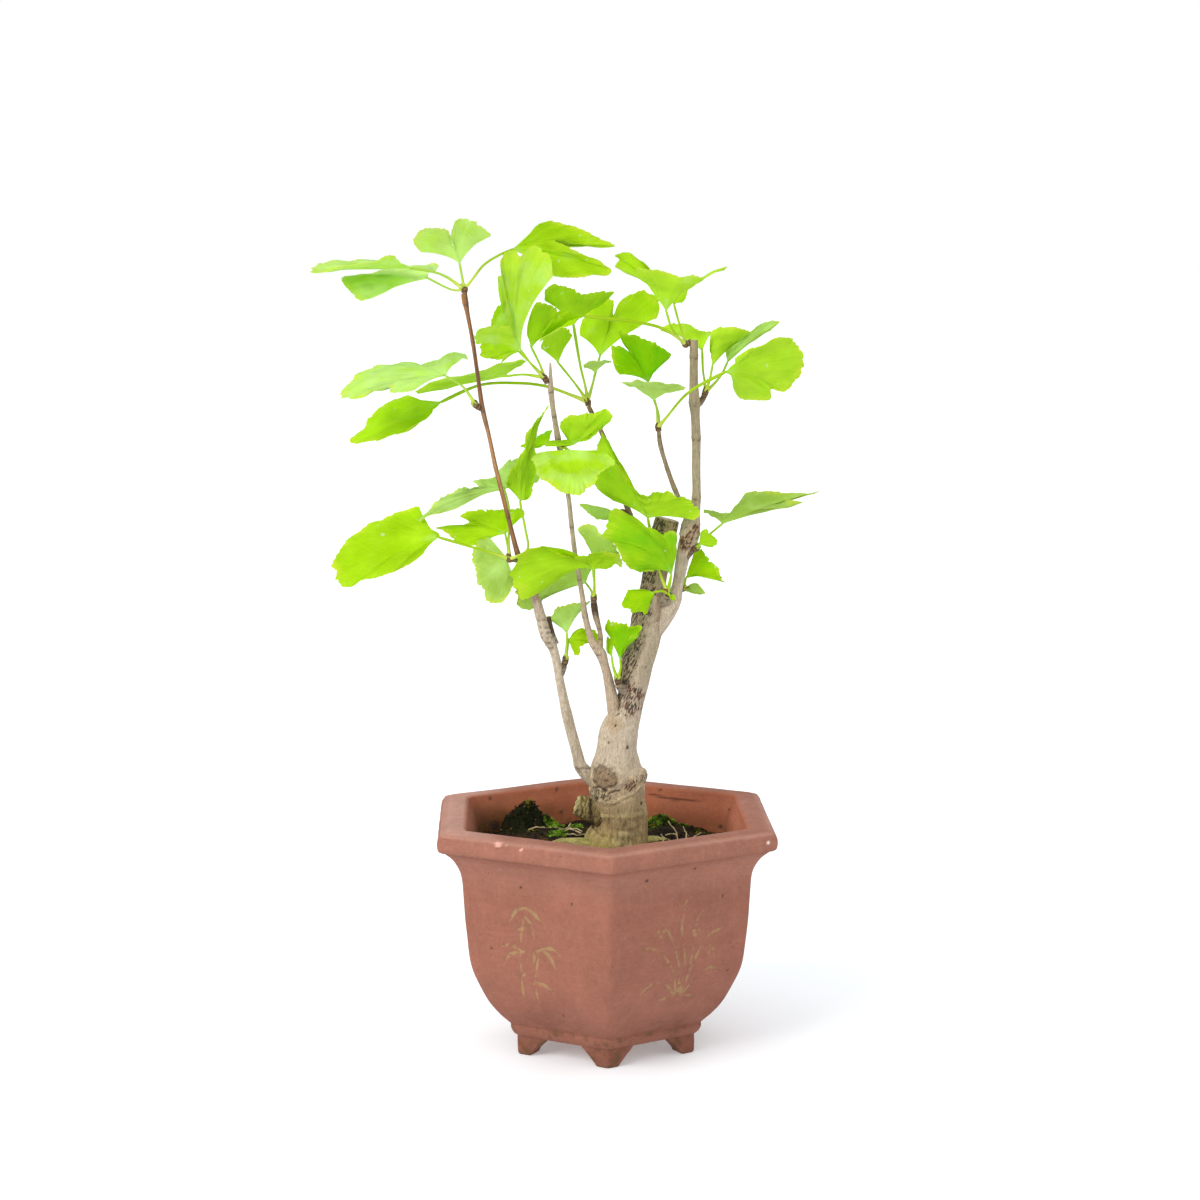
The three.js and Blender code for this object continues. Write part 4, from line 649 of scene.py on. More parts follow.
def blade_faces(rows, columns):
    """Triangles of a fan, whose columns double outward as the veins of the leaf do. `number`
    holds each used point's place in the list, or -1."""
    strides = [8 if r <= rows // 8 else 4 if r <= rows // 4 else 2 if r <= rows // 2 else 1
               for r in range(rows)]
    number = np.full((rows, columns), -1)
    number[0, :] = 0
    for r in range(1, rows):
        row = number[r, :: strides[r]]
        row[:] = number.max() + 1 + np.arange(len(row))
    faces = []
    for r in range(rows - 1):
        stride = strides[r + 1]
        wide = strides[r] if r else stride
        for i in range(0, columns - 1, wide):
            a, b = number[r, i], number[r, i + wide]
            c, d = number[r + 1, i], number[r + 1, i + wide]
            if r == 0:
                faces.append((a, d, c))
            elif wide == stride:
                faces += [(a, b, d), (a, d, c)]
            else:
                m = number[r + 1, i + stride]
                faces += [(a, m, c), (a, b, m), (b, d, m)]
    loop = [*number[:, -1], *number[-1, -2::-1], *number[-2:0:-1, 0]]
    number[0, 1:] = -1
    return number, np.array(faces), zip(loop, loop[1:] + loop[:1])


def stalk(shell, leaf, knots, seed):
    *_, before, base = knots
    knots = [*knots, base + 1.6 * unit(base - before)]
    radii = np.interp(np.linspace(0, 1, len(knots)), [0, 0.2, 1], [1.05, 0.58, 0.5])
    radii = radii * (1 + 0.35 * ease(25, 60, run_of(np.array(knots))[-1]))
    radii[-1] = 0.2
    tube = Tube(np.column_stack([knots, radii]), 8, 1.4)
    tube.add_to(shell, tone=leaf.tone, share=tube.share, vein=tube.run, seed=seed, stalk=1.0, under=0.0)


def bunch(spray, seed):
    """A bunch of leaves on their stalks."""
    shell = Shell()
    for k, leaf in enumerate(spray.leaves):
        knots = [spray.bud, *leaf.stalk]
        blade(shell, leaf, knots, seed + SEED_STEP * k)
        stalk(shell, leaf, knots, seed + SEED_STEP * k)
    return shell


LEAF_DEEP = rgb(126, 206, 0)
LEAF_MIDDLE = rgb(180, 224, 2)
LEAF_FRESH = rgb(199, 236, 38)
LEAF_PALE = rgb(216, 246, 154)
LEAF_DULL = rgb(176, 206, 94)
LEAF_GLINT = rgb(232, 248, 214)
LEAF_MARGIN = rgb(232, 232, 70)
LEAF_THROUGH = rgb(210, 244, 14)
LEAF_UNDER = rgb(198, 224, 96)
STALK_LOW = rgb(204, 208, 92)
STALK = rgb(148, 182, 20)
STALK_HIGH = rgb(154, 198, 28)
STALK_DEEP = rgb(136, 166, 8)


def leaf_material():
    s = Shader("ginkgo_leaf")
    tone, share, vein, seed, stem = (s.read(name) for name in ("tone", "share", "vein", "seed", "stalk"))
    varied = s.math("ADD", tone, s.span(s.noise(10, 3), 0.2, 0.8, -0.16, 0.16))
    green = s.ramp(s.math("DIVIDE", varied, 1.4), (0, LEAF_DEEP), (0.25, LEAF_MIDDLE), (0.5, LEAF_FRESH),
                   (0.71, LEAF_PALE), (1, LEAF_DULL))
    across = s.node("CombineXYZ", [s.math("DIVIDE", vein, 1.7), s.times(share, 1.6), seed])
    streaks = s.noise(1.0, 3, across.outputs[0])
    green = s.shade(green, streaks, 0.93, 1.07)
    green = s.shade(green, s.noise(14, 2), 0.86, 1.14)
    rim = s.span(s.math("ADD", share, s.times(streaks, 0.06)), 0.9, 1.04)
    green = s.coat(green, rim, s.span(s.noise(7, 2), 0.38, 0.66, 0.1, 0.65), LEAF_MARGIN)
    green = s.coat(green, s.times(s.read("under"), tone), 0.35, LEAF_UNDER)
    # painted glints: small near-white highlight spots in the leaf's colour
    green = s.coat(green, s.span(s.noise(3, 1), 0.75, 0.79), 0.6, LEAF_GLINT)
    green = s.coat(green, s.span(share, 0.22, 0.0), 0.45, LEAF_PALE)
    stem_green = s.ramp(share, (0, STALK_LOW), (0.35, STALK), (1, STALK_HIGH))
    stem_green = s.mix(s.span(vein, 12, 40, 0.0, 0.65), stem_green, STALK_DEEP)
    green = s.mix(stem, green, s.mix(0.2, stem_green, green))
    ribs = s.times(s.math("SINE", s.times(vein, 5.6)), s.span(share, 0.3, 0.7))
    through = s.node("BsdfTranslucent", {"Color": s.mix(0.5, green, LEAF_THROUGH)})
    lit_through = s.times(s.math("SUBTRACT", 1.0, stem), 0.42)
    both = s.node("MixShader", [lit_through, s.surface.outputs[0], through.outputs[0]])
    s.put(s.output.inputs[0], both.outputs[0])
    return s.finish(Base_Color=green, Roughness=0.46, Specular_IOR_Level=0.12,
                    Normal=s.bump(s.noise(0.8, 2), 0.05, s.bump(ribs, 0.05)))


# ---------------------------------------- wood
BARK_BEIGE = rgb(195, 179, 156)
BARK_TOP = rgb(180, 163, 139)
# BARK_SHADE is painted shade on the trunk's left side, and the darker grain and pores of the branches
BARK_SHADE = rgb(142, 124, 88)
BARK_LOW = rgb(176, 151, 108)
BARK_GREEN = rgb(150, 139, 58)
BARK_GREY = rgb(144, 134, 98)
BARK_DARK = rgb(64, 48, 37)
BARK_RED = rgb(103, 53, 39)
CUT_WOOD = rgb(197, 180, 145)
TWIG_RED = rgb(144, 96, 54)
TWIG_GREY = rgb(162, 147, 127)
CUP_BROWN = rgb(74, 56, 38)
BUD_BROWN = rgb(112, 76, 44)
BUD_GREEN = rgb(176, 200, 74)
STREAK_LEAN = math.radians(28)  # of the dark streaks, from upright to the right

# how a branch's colour goes from its foot to its top, between two heights, the heights of its
# ring scars, and the heights between which its bark is torn
Look = namedtuple("Look", "low high start end gloss rings torn", defaults=[(0, 0)])
LOOKS = [
    (RIGHT_BRANCH, 40, Look(BARK_BEIGE, rgb(160, 145, 116), 222, 300, 0, (252, 257, 262, 276, 305, 322, 345),
                            (246, 266))),
    (LEFT_BRANCH, 32, Look(BARK_BEIGE, TWIG_RED, 212, 246, 1, (
        139.5, 141.5, 203, 205.5, 208, 210.5, 213.5, 217, 247, 268, 292, 320, 353, 371))),
    (MIDDLE_BRANCH, 30, Look(rgb(190, 169, 144), rgb(180, 161, 136), 190, 300, 0.1, (
        199, 202.5, 218, 236, 262, 292, 305, 316, 328))),
    (MIDDLE_FORK, 24, Look(rgb(171, 147, 120), CUP_BROWN, 210, 222, 0, (207, 212, 216, 219, 222))),
    (BACK_BRANCH, 24, Look(BARK_BEIGE, rgb(134, 112, 85), 244, 268, 0.2, (252, 266, 283, 304, 314, 317))),
    (BACK_TWIG, 22, Look(rgb(162, 147, 122), rgb(138, 118, 88), 264, 300, 0.2, (
        268, 279, 289, 300, 303, 306))),
]
# on the trunk's front: x, height, half width, half height, and how soft the edge is
FLECKS = 12.6, 133.8, 3, 3.4
SPECKLED = -4, 128, 6.5, 3
HURT = 13.4, 175.5, 6.6, 8.6, 0.9
OCHRE_SPOT = 4.8, 163, 4.2, 3.6, 0.9
SWELLING = 4.4, 167.5, 5, 3, 1.2
BROWNED = 9, 114, 8, 3.2, 0.9
BITTEN = 12.8, 133.6, 3.6, 3.8, 0.8
CRACKED = -3.5, 127.6, 8, 4.2, 0.8
DOTS = [(11.4, 151.8, 0.6, 0.9), (5.4, 162.6, 0.6, 0.8), (18.4, 122.6, 0.6, 0.9), (17.2, 119, 0.5, 0.5),
        (1.8, 154, 0.4, 0.6)]
FRONT_MARKS = FLECKS, SPECKLED, HURT, OCHRE_SPOT, SWELLING, BROWNED, BITTEN, CRACKED
NUB = 19.6, 136.5, 2.4, 2.8
PEELED = 25, 222, 7, 10, 0.9
OLD_SCAR = 0.1, 137.3
# strokes on the trunk's front: the points' x and height
CRACKS = [(0.7, [(-6, 131), (-3, 132), (1, 130.6)]), (0.6, [(2.5, 129.8), (5, 130.4), (7.5, 130.9)])]
FOLD = [(-10, 130.5), (-6, 127), (-1.3, 124.8), (5, 124.9), (9, 127), (14, 128.8), (19, 132)]
COLLAR = [(2, 168.4), (3.8, 167.4), (5.6, 167.3), (7.6, 168.6)]
# the edge of the painted shade on the trunk's left side, by height
LEFT_SHADE_EDGE = [164, 170, 204, 230, 264], [6, 8.5, 20, 25, 30]  # heights, and the dark side's edge there


def oval(points, x, z, wide, high, soft=0.35):
    """1 inside an upright oval on the front of the trunk, 0 outside, with a ragged edge."""
    ragged = 0.25 * rough(points, 1.8, 2, 7)
    away = np.hypot((points[..., 0] - x) / wide, (points[..., 2] - z) / high) + ragged
    return ease(1 + soft / 2, 1 - soft / 2, away)


def line_mark(points, stroke, width):
    """1 on a stroke of (x, z) points drawn on the front of the trunk, 0 away from it."""
    fine = curve([(x, 0, z) for x, z in stroke], 0.4)[:, [0, 2]]
    place = points[..., [0, 2]] + 0.35 * rough(points, 1.5, 2, 9)[..., None]
    away = np.min(np.linalg.norm(place[..., None, :] - fine, axis=-1), axis=-1)
    return ease(width, 0.3 * width, away)


def trunk(shell):
    tube = Tube(TRUNK, 144, 0.68, 0.03, 5)
    p, out = tube.points, tube.out
    x, z = p[..., 0], p[..., 2]
    front = ease(0.2, -0.4, out[..., 1])
    fine = rough(tube.local, (1.6, 1.6, 7), 4, 3)
    broad = rough(tube.local, (7, 7, 22), 2, 4)
    wrinkle = rough(p, (9, 9, 1.3), 3, 5)
    ragged = rough(p, 2.4, 3, 6)
    mottled = rough(p, 2.4, 3, 15)
    speckle = rough(tube.local, (1.1, 1.1, 3.2), 2, 16)
    slant = rough(np.stack([x - 0.5 * z, p[..., 1], z + 0.5 * x], -1), (0.8, 1.6, 2.6), 2, 13)

    burl = ease(121, 126, z + ragged) * ease(143, 138, z + 1.5 * ragged)
    low = ease(124, 116, z)
    upper = ease(172, 186, z)
    top = ease(228, 242, z)
    # painted shade: the trunk's left side above the middle branch is darker, and has more streaks and
    # fissures there
    shaded_left = x - np.interp(z, *LEFT_SHADE_EDGE) + 1.6 * noise(p, (3, 3, 14), 8)
    shaded_left = ease(1.2, -2.2, shaded_left) * ease(166, 173, z)
    notched = 1 + 0.16 * rough(p, 3.4, 2, 18)
    scar, scar_edge, scar_hole = (front * oval(p, *OLD_SCAR, wide * notched, high * notched)
                                  for wide, high in ((5.3, 6), (6, 6.8), (4.6, 5.3)))
    flecks, speckled, hurt, ochre, swelling, browned, bitten, cracked = (
        front * oval(p, *mark) for mark in FRONT_MARKS)
    flecks = flecks * ease(-0.15, 0.3, rough(p, 1.0, 2, 11))
    speckled = speckled * ease(-0.2, 0.3, rough(p, (1.2, 1.2, 0.8), 2, 12))
    nub = oval(p, *NUB)
    peeled = oval(p, *PEELED) * ease(-0.3, 0.5, ragged)
    dots = front * np.max([oval(p, *dot, 0.3) for dot in DOTS], axis=0)
    crack = front * np.max([line_mark(p, stroke, width) for width, stroke in CRACKS], axis=0)
    fold = front * line_mark(p, FOLD, 1.2)
    collar = front * line_mark(p, COLLAR, 0.6)
    wound = hurt * ease(0.1, 0.45, slant)
    fissured = shaded_left * (1 - 0.5 * ease(200, 226, z)) + 0.12 * upper
    groove = ease(0.2, 0.6, rough(tube.local, (0.9, 0.9, 7), 3, 14)) * fissured
    flare = ease(119, 102, z) * np.clip(-out[..., 0] - 0.3 * out[..., 1], 0, 1) ** 2
    ledge = front * bell(z, 117.4 + 0.8 * ragged, 1.1)

    tube.lift(0.1 * fine + 0.35 * broad + 0.5 * flare + 0.35 * burl * ragged + 0.9 * nub
              + 0.16 * wrinkle * (low + 0.5 * burl) + 0.5 * fold - 0.7 * crack - 0.5 * dots
              + 0.35 * ledge + 0.14 * speckle * low - 0.35 * groove - 0.3 * wound
              + 0.45 * scar * (0.5 + ragged) - 0.4 * collar + 0.5 * swelling)

    colour = coats(
        blend(ease(112, 150, z), BARK_LOW, BARK_BEIGE), (upper, BARK_TOP),
        (0.35 * ease(0.1, 0.9, broad) + 0.2 * ease(0.2, 0.8, wrinkle) * low, BARK_GREY),
        (0.3 * low * ease(0.1, 0.9, mottled), rgb(112, 96, 60)),
        (0.3 * low * ease(0.2, 0.9, -mottled), rgb(200, 180, 128)),
        (0.55 * low * ease(0.1, 0.7, speckle), rgb(100, 84, 44)),
        (0.5 * low * ease(0.2, 0.8, -speckle), rgb(212, 194, 138)),
        (0.3 * ledge * ease(-0.2, 0.4, mottled), rgb(206, 190, 130)), (0.35 * browned, rgb(120, 92, 62)),
        (ease(112, 99, z + 3 * broad) * (0.45 + 0.4 * ease(0.5, -0.9, out[..., 0])), BARK_GREEN),
        # 0.5 * shaded_left lays painted shade on the trunk's left side
        (0.5 * shaded_left, BARK_SHADE), (ease(226, 242, z), rgb(158, 139, 98)), (0.5 * peeled, rgb(150, 104, 72)),
        (0.15 * burl * ease(0, 0.8, ragged), BARK_GREY),
        (0.7 * burl * ease(-0.2, 0.6, -mottled), rgb(218, 194, 150)), (0.8 * scar, rgb(130, 104, 76)),
        (0.65 * scar_edge * (1 - scar_hole), BARK_DARK), (0.35 * fold, CUT_WOOD),
        (0.5 * ochre, rgb(162, 129, 85)), (0.7 * speckled, rgb(66, 66, 50)),
        (0.5 * flecks + 0.55 * nub * ease(-0.4, 0.3, ragged), BARK_RED), (0.3 * hurt, rgb(150, 122, 96)),
        (0.6 * wound, rgb(106, 58, 42)), (0.28 * groove, BARK_DARK),
        (0.9 * crack + 0.9 * dots + 0.75 * collar, BARK_DARK))
    streaks = 0.8 * shaded_left + 0.9 * hurt + 0.85 * bitten + 0.7 * nub + 0.75 * cracked + 0.45 * scar
    streaks = streaks + 0.22 * upper * ease(0, 0.8, broad) + 0.6 * top + 0.5 * peeled
    rust = hurt * ease(-0.35, 0.25, noise(p, 3.2, 17)) + bitten + nub
    tube.add_to(shell, tint=end_grain(tube, colour), gloss=0.1, rust=np.clip(rust, 0, 1),
                streaks=np.clip(streaks, 0, 1) * (tube.cap == 0))


def end_grain(tube, colour):
    """Sawn wood on a flat end: pale, with rings and a dark edge."""
    rings = 0.5 + 0.5 * np.sin(9 * tube.cap * tube.radius[-1] + noise(tube.points, 2, 5))
    wood = blend(0.45 * rings, CUT_WOOD, rgb(145, 122, 88))
    return blend(ease(0.02, 0.12, tube.cap), colour, wood)


def branch(shell, path, sides, look, seed):
    tube = Tube(path, sides, 0.55, 0.02, 5)
    z = tube.points[..., 2]

    def fibres(x, y, along, key):
        return noise(tube.local, (x, y, along), seed + key)

    def bands(values, width):
        return sum(bell(values, at, width) for at in look.rings)

    grain = rough(tube.local, (1.3, 1.3, 8), 3, seed)
    lumps = fibres(4, 4, 7, 1)
    wavy = z + 0.5 * noise(tube.points, 2.5, seed)
    ring, under = bands(wavy, 0.55), bands(wavy + 1, 0.5)
    lift = 0.03 * grain + 0.04 * lumps + 0.05 * ring + 0.07 * bands(z, 2.2) - 0.04 * under - 0.03
    tube.lift(np.minimum(tube.radius, 2.6) * lift)
    along = ease(look.start, look.end, z + 5 * fibres(2, 2, 9, 2))
    start, end = look.torn
    torn = ease(start, start + 5, z) * ease(end, end - 5, z)
    torn = torn * ease(-0.5, 0.3, lumps + 0.6 * noise(tube.points, 3, seed + 8))
    broken = ease(-0.5, 0.3, fibres(1.2, 1.2, 3, 5))
    colour = coats(
        blend(along, look.low, look.high), (0.3 * ease(0, 0.8, grain), BARK_SHADE),
        # painted highlight and painted shade: light and dark lengthwise streaks on glossy bark, drawn as
        # grain
        (0.75 * along * look.gloss * ease(0.1, 0.7, fibres(1, 1, 26, 6)), rgb(186, 132, 84)),
        (0.6 * along * look.gloss * ease(0.1, 0.6, fibres(0.9, 0.9, 18, 7)), rgb(70, 42, 22)),
        (0.35 * along * ease(0.35, 0.8, fibres(2.4, 2.4, 20, 3)), TWIG_GREY),
        (np.clip(0.7 * under + 0.15 * ring, 0, 1) * broken, BARK_DARK),
        (0.6 * ease(0.62, 0.85, fibres(0.9, 0.9, 0.7, 4)), BARK_SHADE), (0.6 * torn, rgb(158, 120, 78)))
    tube.add_to(shell, tint=end_grain(tube, colour), gloss=look.gloss * along, streaks=0.9 * torn,
                rust=0.4 * torn)


def stub(shell):
    """The old pruned stub: ringed bark and a broken, hollow end."""
    tube = Tube(STUB, 56, 0.35, 0.02, 8)
    x = tube.points[..., 0]
    ragged = rough(tube.points, 2.2, 3, 41)
    rings = np.sin(2.9 * (x + 0.9 * ragged)) * ease(-3, -6, x)
    neck = bell(x, -6.2, 1.1)
    hollow = ease(0.35, 0.75, tube.cap + 0.25 * ragged)
    tube.lift(0.1 * rings + 0.45 * ragged - 1.0 * neck)
    tube.points = tube.points + np.array([2.6, 0.4, -0.6]) * hollow[..., None]
    tube.points[..., 0] -= 0.8 * ease(0, 0.2, tube.cap) * (0.6 + ragged) * (1 - hollow)
    # the hollow end darkens to near black: dark old wood, with painted shade inside the hollow
    colour = coats(
        blend(0.5 + 0.5 * rings, rgb(92, 78, 38), rgb(172, 154, 98)), (0.8 * neck, BARK_DARK),
        (0.5 * ease(0.2, 0.7, ragged), BARK_GREY), (ease(0.02, 0.2, tube.cap), rgb(196, 182, 128)),
        (0.9 * hollow, rgb(50, 44, 22)))
    tube.add_to(shell, tint=colour, gloss=0.0, streaks=0.5, rust=0.0)


def root(shell, path, seed):
    tube = Tube(path, 26, 0.7, 0.03)
    grain = rough(tube.local, (1.2, 1.2, 5), 3, seed)
    tube.lift(0.1 * tube.radius * grain)
    colour = blend(0.5 + 0.5 * grain, rgb(160, 152, 78), rgb(222, 214, 130))
    colour = blend(0.6 * ease(0, 30, tube.run), colour, rgb(110, 92, 61))
    tube.add_to(shell, tint=colour, gloss=0.0, streaks=0.3, rust=0.0)


def wood():
    shell = Shell()
    trunk(shell)
    for seed, (path, sides, look) in enumerate(LOOKS):
        branch(shell, path, sides, look, 10 + seed)
    for seed, path in enumerate(SPURS):
        middle = path[1][2]
        tone = TWIG_GREY if middle < 230 else rgb(138, 114, 87)
        rings = [middle + step for step in (-3, -1, 1, 3)]
        branch(shell, path, 26, Look(tone, CUP_BROWN, middle, middle + 5, 0, rings), 30 + seed)
    stub(shell)
    for seed, path in enumerate(ROOTS):
        root(shell, path, 50 + seed)
    return shell


def buds():
    """The short spurs that the bunches grow from: a ringed cup, bud scales and stalk bases."""
    shell = Shell()
    knots = np.array([knot for path in [look[0] for look in LOOKS] + [TRUNK, *SPURS] for knot in path])
    for seed, spray in enumerate(SPRAYS):
        near = np.argmin(np.linalg.norm(knots[:, :3] - spray.bud, axis=1) - 0.5 * knots[:, 3])
        ways = unit(np.array([leaf.stalk[0] for leaf in spray.leaves]) - spray.bud)
        bud(shell, spray.bud, unit(ways.mean(0)), knots[near, :3], seed)
    return shell


def bud(shell, centre, axis, wood_knot, seed):
    side = unit(np.cross(axis, (0.3, 0.2, 0.9)))
    other = np.cross(axis, side)

    def path(turn, *knots):
        """The points and radii for (place along the axis, distance out from it, radius)."""
        out = side * math.cos(turn) + other * math.sin(turn)
        return [(*(centre + along * axis + away * out), radius) for along, away, radius in knots]

    foot = centre + (wood_knot - centre) * min(1, 3.4 / np.linalg.norm(wood_knot - centre))
    cup = Tube([(*foot, 1.3), *path(0, (-0.3, 0, 1.65), (0.6, 0, 1.6), (1.2, 0, 1.15), (1.5, 0, 0.5))],
               22, 0.22)
    ridges = np.sin(4.2 * cup.run + 0.5 * noise(cup.points, 1.2, seed))
    cup.lift(0.1 * ridges * ease(0.8, 0.5, cup.share) + 0.1 * rough(cup.points, 1.4, 2, seed))
    # the rings are lighter on their crests and darker between them: ringed scars, with a painted highlight
    # and painted shade
    colour = blend(0.5 + 0.5 * ridges, CUP_BROWN, rgb(131, 99, 66))
    cup.add_to(shell, tint=blend(ease(0.7, 0.86, cup.share), colour, BUD_GREEN), gloss=0.3)
    for k in range(4):
        scale = Tube(path(FULL_TURN / 4 * k + seed, (0.4, 1.0, 0.7), (1.5, 1.25, 0.55),
                          (2.4 + 0.5 * (k % 2), 1.05, 0.2)), 10, 0.3)
        green = BUD_GREEN if (k + seed) % 3 else BUD_BROWN
        scale.add_to(shell, tint=blend(ease(0.1, 0.6, scale.share), CUP_BROWN, green), gloss=0.3)
    tip = Tube(path(0, (0.8, 0, 0.9), (1.8, 0, 0.85), (3, 0, 0.25)), 12, 0.3)
    tip.add_to(shell, tint=blend(tip.share, BUD_BROWN, rgb(150, 88, 56)), gloss=0.5)


def bark_material():
    s = Shader("ginkgo_bark")
    fibres = s.span(s.noise(1.0, 5, s.stretched(1100, 1100, 260)), 0.26, 0.74)
    grit = s.span(s.noise(0.9, 4), 0.26, 0.74)
    tint = s.shade(s.read("tint", "Color"), fibres, 0.87, 1.13)
    tint = s.shade(tint, grit, 0.9, 1.1)
    tint = s.coat(tint, s.span(s.noise(1.3, 2), 0.66, 0.74), 0.35, BARK_DARK)
    leaning = s.node("VectorRotate", {"Vector": s.place, "Angle": -STREAK_LEAN}, rotation_type="Y_AXIS")
    marked = s.read("streaks")
    streak = s.noise(1.0, 3, s.stretched(1450, 1450, 370, leaning.outputs[0]))
    streak = s.span(s.math("ADD", streak, s.times(marked, 0.24)), 0.68, 0.76)
    streak = s.times(streak, s.span(marked, 0.02, 0.3, 0.0, 0.92))
    tint = s.mix(streak, tint, s.mix(s.read("rust"), rgb(54, 45, 36), rgb(92, 42, 28)))
    return s.finish(Base_Color=tint, Roughness=s.span(s.read("gloss"), 0.0, 1.0, 0.8, 0.34),
                    Specular_IOR_Level=0.35, Normal=s.bump(grit, 0.14, s.bump(fibres, 0.3)))


# ---------------------------------------- pot
# apothem and height, up the outside and over the lip, and down the inside
POT_OUTSIDE = [
    (44, 9.6), (45.9, 11.2), (47.4, 14.4), (47.2, 16), (52.4, 21.6), (57.2, 28), (62.3, 38), (66.3, 48.5),
    (68.5, 64.6), (69.8, 78.6), (70.8, 93), (71.9, 97.3), (75.2, 103), (79.6, 107.1), (81.9, 107.9),
    (82.6, 109.8), (82.5, 113.4), (80.9, 116.1), (76.4, 117.4), (70.4, 117.4)]
POT_INSIDE = [(68.7, 116.6), (67.6, 113.4), (65.2, 108), (63.2, 97.3), (61.6, 72), (58.4, 48), (52, 34),
              (43, 24), (34, 19.2), (22, 18)]
POT_SHOWING = 3  # the inside's last point over the soil
POT_HOLE = [(7.1, 18), (6.8, 17), (6.8, 9.6)]
POT_CREASES = [3, 13, 17]  # points of the outside where it turns sharply
POT_COLUMNS = [112, 20, 44, 44, 20, 112]  # on each face, most on the two in front
FOOT_LEVELS = [(0, 5.8, -1), (0.5, 6.8, -0.2), (1.6, 7.6, 0.2), (5.2, 11, 0.4), (9, 14.8, 0.3),
               (10.5, 15.6, 0.3)]  # height, length of an arm, how far out from the foot's radius
FOOT_RADIUS = 50.4
LEFT_FACE, RIGHT_FACE, BACK_FACE = 5, 0, 2  # each by the corner that it follows
CLAY = rgb(148, 93, 75)
CLAY_PALE = rgb(178, 126, 108)
CLAY_DARK = rgb(103, 60, 42)
STAIN = rgb(84, 66, 34)

# scratched and ochre-filled strokes on the two front faces: (mm from the face's middle, height)
BAMBOO = [
    [(-12, 36), (-10.6, 48), (-10, 60), (-8.4, 72), (-6, 83)], [(-4, 34), (-3.4, 44), (-1, 55), (1.6, 63)],
    [(-13, 47), (-8.6, 48.6)], [(-12, 59.4), (-8, 60.6)], [(-10.4, 71.6), (-6.6, 72.6)],
    [(-5, 44), (-1.8, 44.6)]]
BAMBOO_LEAVES = [
    [(-6, 83), (-1, 80), (4, 74)], [(-6, 83), (-11, 81), (-15, 75)], [(-7, 79), (-3, 74), (-2, 68)],
    [(-10, 60), (-16, 58), (-20, 52)], [(-9.6, 61), (-15, 63), (-20, 62)], [(1.6, 63), (6, 60), (9, 54)],
    [(1.6, 63), (-2, 60), (-3, 55)], [(1.6, 63), (7, 64), (12, 61)], [(-3.4, 45), (2, 44), (6, 40)]]
GRASS = [
    [(2, 38), (-3, 52), (-12, 63), (-22, 66)], [(3, 38), (0, 56), (-7, 72), (-15, 80)],
    [(4, 38), (4, 56), (1, 74), (3, 86)], [(5, 38), (9, 54), (16, 66), (25, 70)],
    [(6, 38), (14, 48), (22, 50), (28, 45)], [(1, 38), (-6, 45), (-14, 46), (-20, 41)],
    [(5, 38), (8, 58), (9, 74), (14, 82)], [(-7, 36), (0, 37), (8, 36.6), (15, 35)]]
BLOSSOMS = [(-11, 70), (-9.4, 72.4), (-12.6, 72.6), (9, 68), (10.8, 70), (7.6, 70.6), (18, 58), (20, 59.6)]
# dark specks of the clay: face, across, height, size
SPECKS = [(0, -22, 100, 1.0), (0, 4, 103, 0.8), (0, 24, 86, 0.6), (5, -8, 93, 0.8), (5, 20, 88, 0.6),
          (5, -26, 60, 0.6), (0, 30, 47, 0.7), (5, 8, 28, 0.7), (2, -39, 110, 0.9), (2, -34.5, 100.5, 1.3),
          (2, 3.5, 115.4, 0.8), (3, -13, 115.4, 1.0), (3, -13, 103.5, 1.2), (3, 27, 115, 0.9),
          (3, 27, 101, 3.0)]
# chips on the lip's left face: across, height, half width, half height
CHIPS = [(-14.6, 115.6, 2.3, 0.9), (-9.6, 115.6, 0.8, 0.5), (-1, 114.4, 0.7, 0.7)]


def heading(angle):
    return np.array([math.cos(angle), math.sin(angle)])


def corner_angle(k):
    return -math.pi / 2 + k * math.pi / 3 + TURN


def face_place(points, k):
    """How far points are across and out on the face that follows corner k."""
    normal = heading(corner_angle(k) + math.pi / 6)
    return points[..., :2] @ (-normal[1], normal[0]), points[..., :2] @ normal


def hex_columns(face_counts, arc_count):
    """For every column of a rounded hexagon: what multiplies the reach of the corner arcs'
    centres, and what multiplies the arcs' radius."""
    reach, arc = [], []
    for k, count in enumerate(face_counts):
        here, after = heading(corner_angle(k)), heading(corner_angle(k + 1))
        for turn in np.radians(np.linspace(-30, 30, arc_count)):
            reach.append(here)
            arc.append(heading(corner_angle(k) + turn))
        for share in np.arange(1, count) / count:
            reach.append((1 - share) * here + share * after)
            arc.append(heading(corner_angle(k) + math.pi / 6))
    return np.array(reach), np.array(arc)


def hex_rings(levels, columns):
    """Points of a rounded hexagon at each (apothem, z, corner radius)."""
    reach, arc = columns
    apothem, z, radius = np.array(levels, float).T[..., None, None]
    plan = (apothem - radius) / math.cos(math.pi / 6) * reach + radius * arc
    return np.concatenate([plan, z + 0 * plan[..., :1]], axis=-1)


def pot_levels():
    """Levels up the outside, over the lip and down to the drainage hole, and how many of them
    are outside."""
    def along(part, step, radius):
        return [(*place, radius) for place in curve([(a, z) for a, z in part], step)[:-1]]

    levels = []
    ends = [0, *POT_CREASES, len(POT_OUTSIDE) - 1]
    for first, last, step in zip(ends[:-1], ends[1:], (0.8, 0.68, 0.6, 0.8)):
        levels += along(POT_OUTSIDE[first : last + 1], step, 4)
    outside = len(levels)
    levels += [(*POT_OUTSIDE[-1], 5), *along(POT_INSIDE[: POT_SHOWING + 1], 1.0, 7),
               *along(POT_INSIDE[POT_SHOWING:], 5.0, 7), *((a, z, 6.5) for a, z in POT_HOLE)]
    return levels, outside


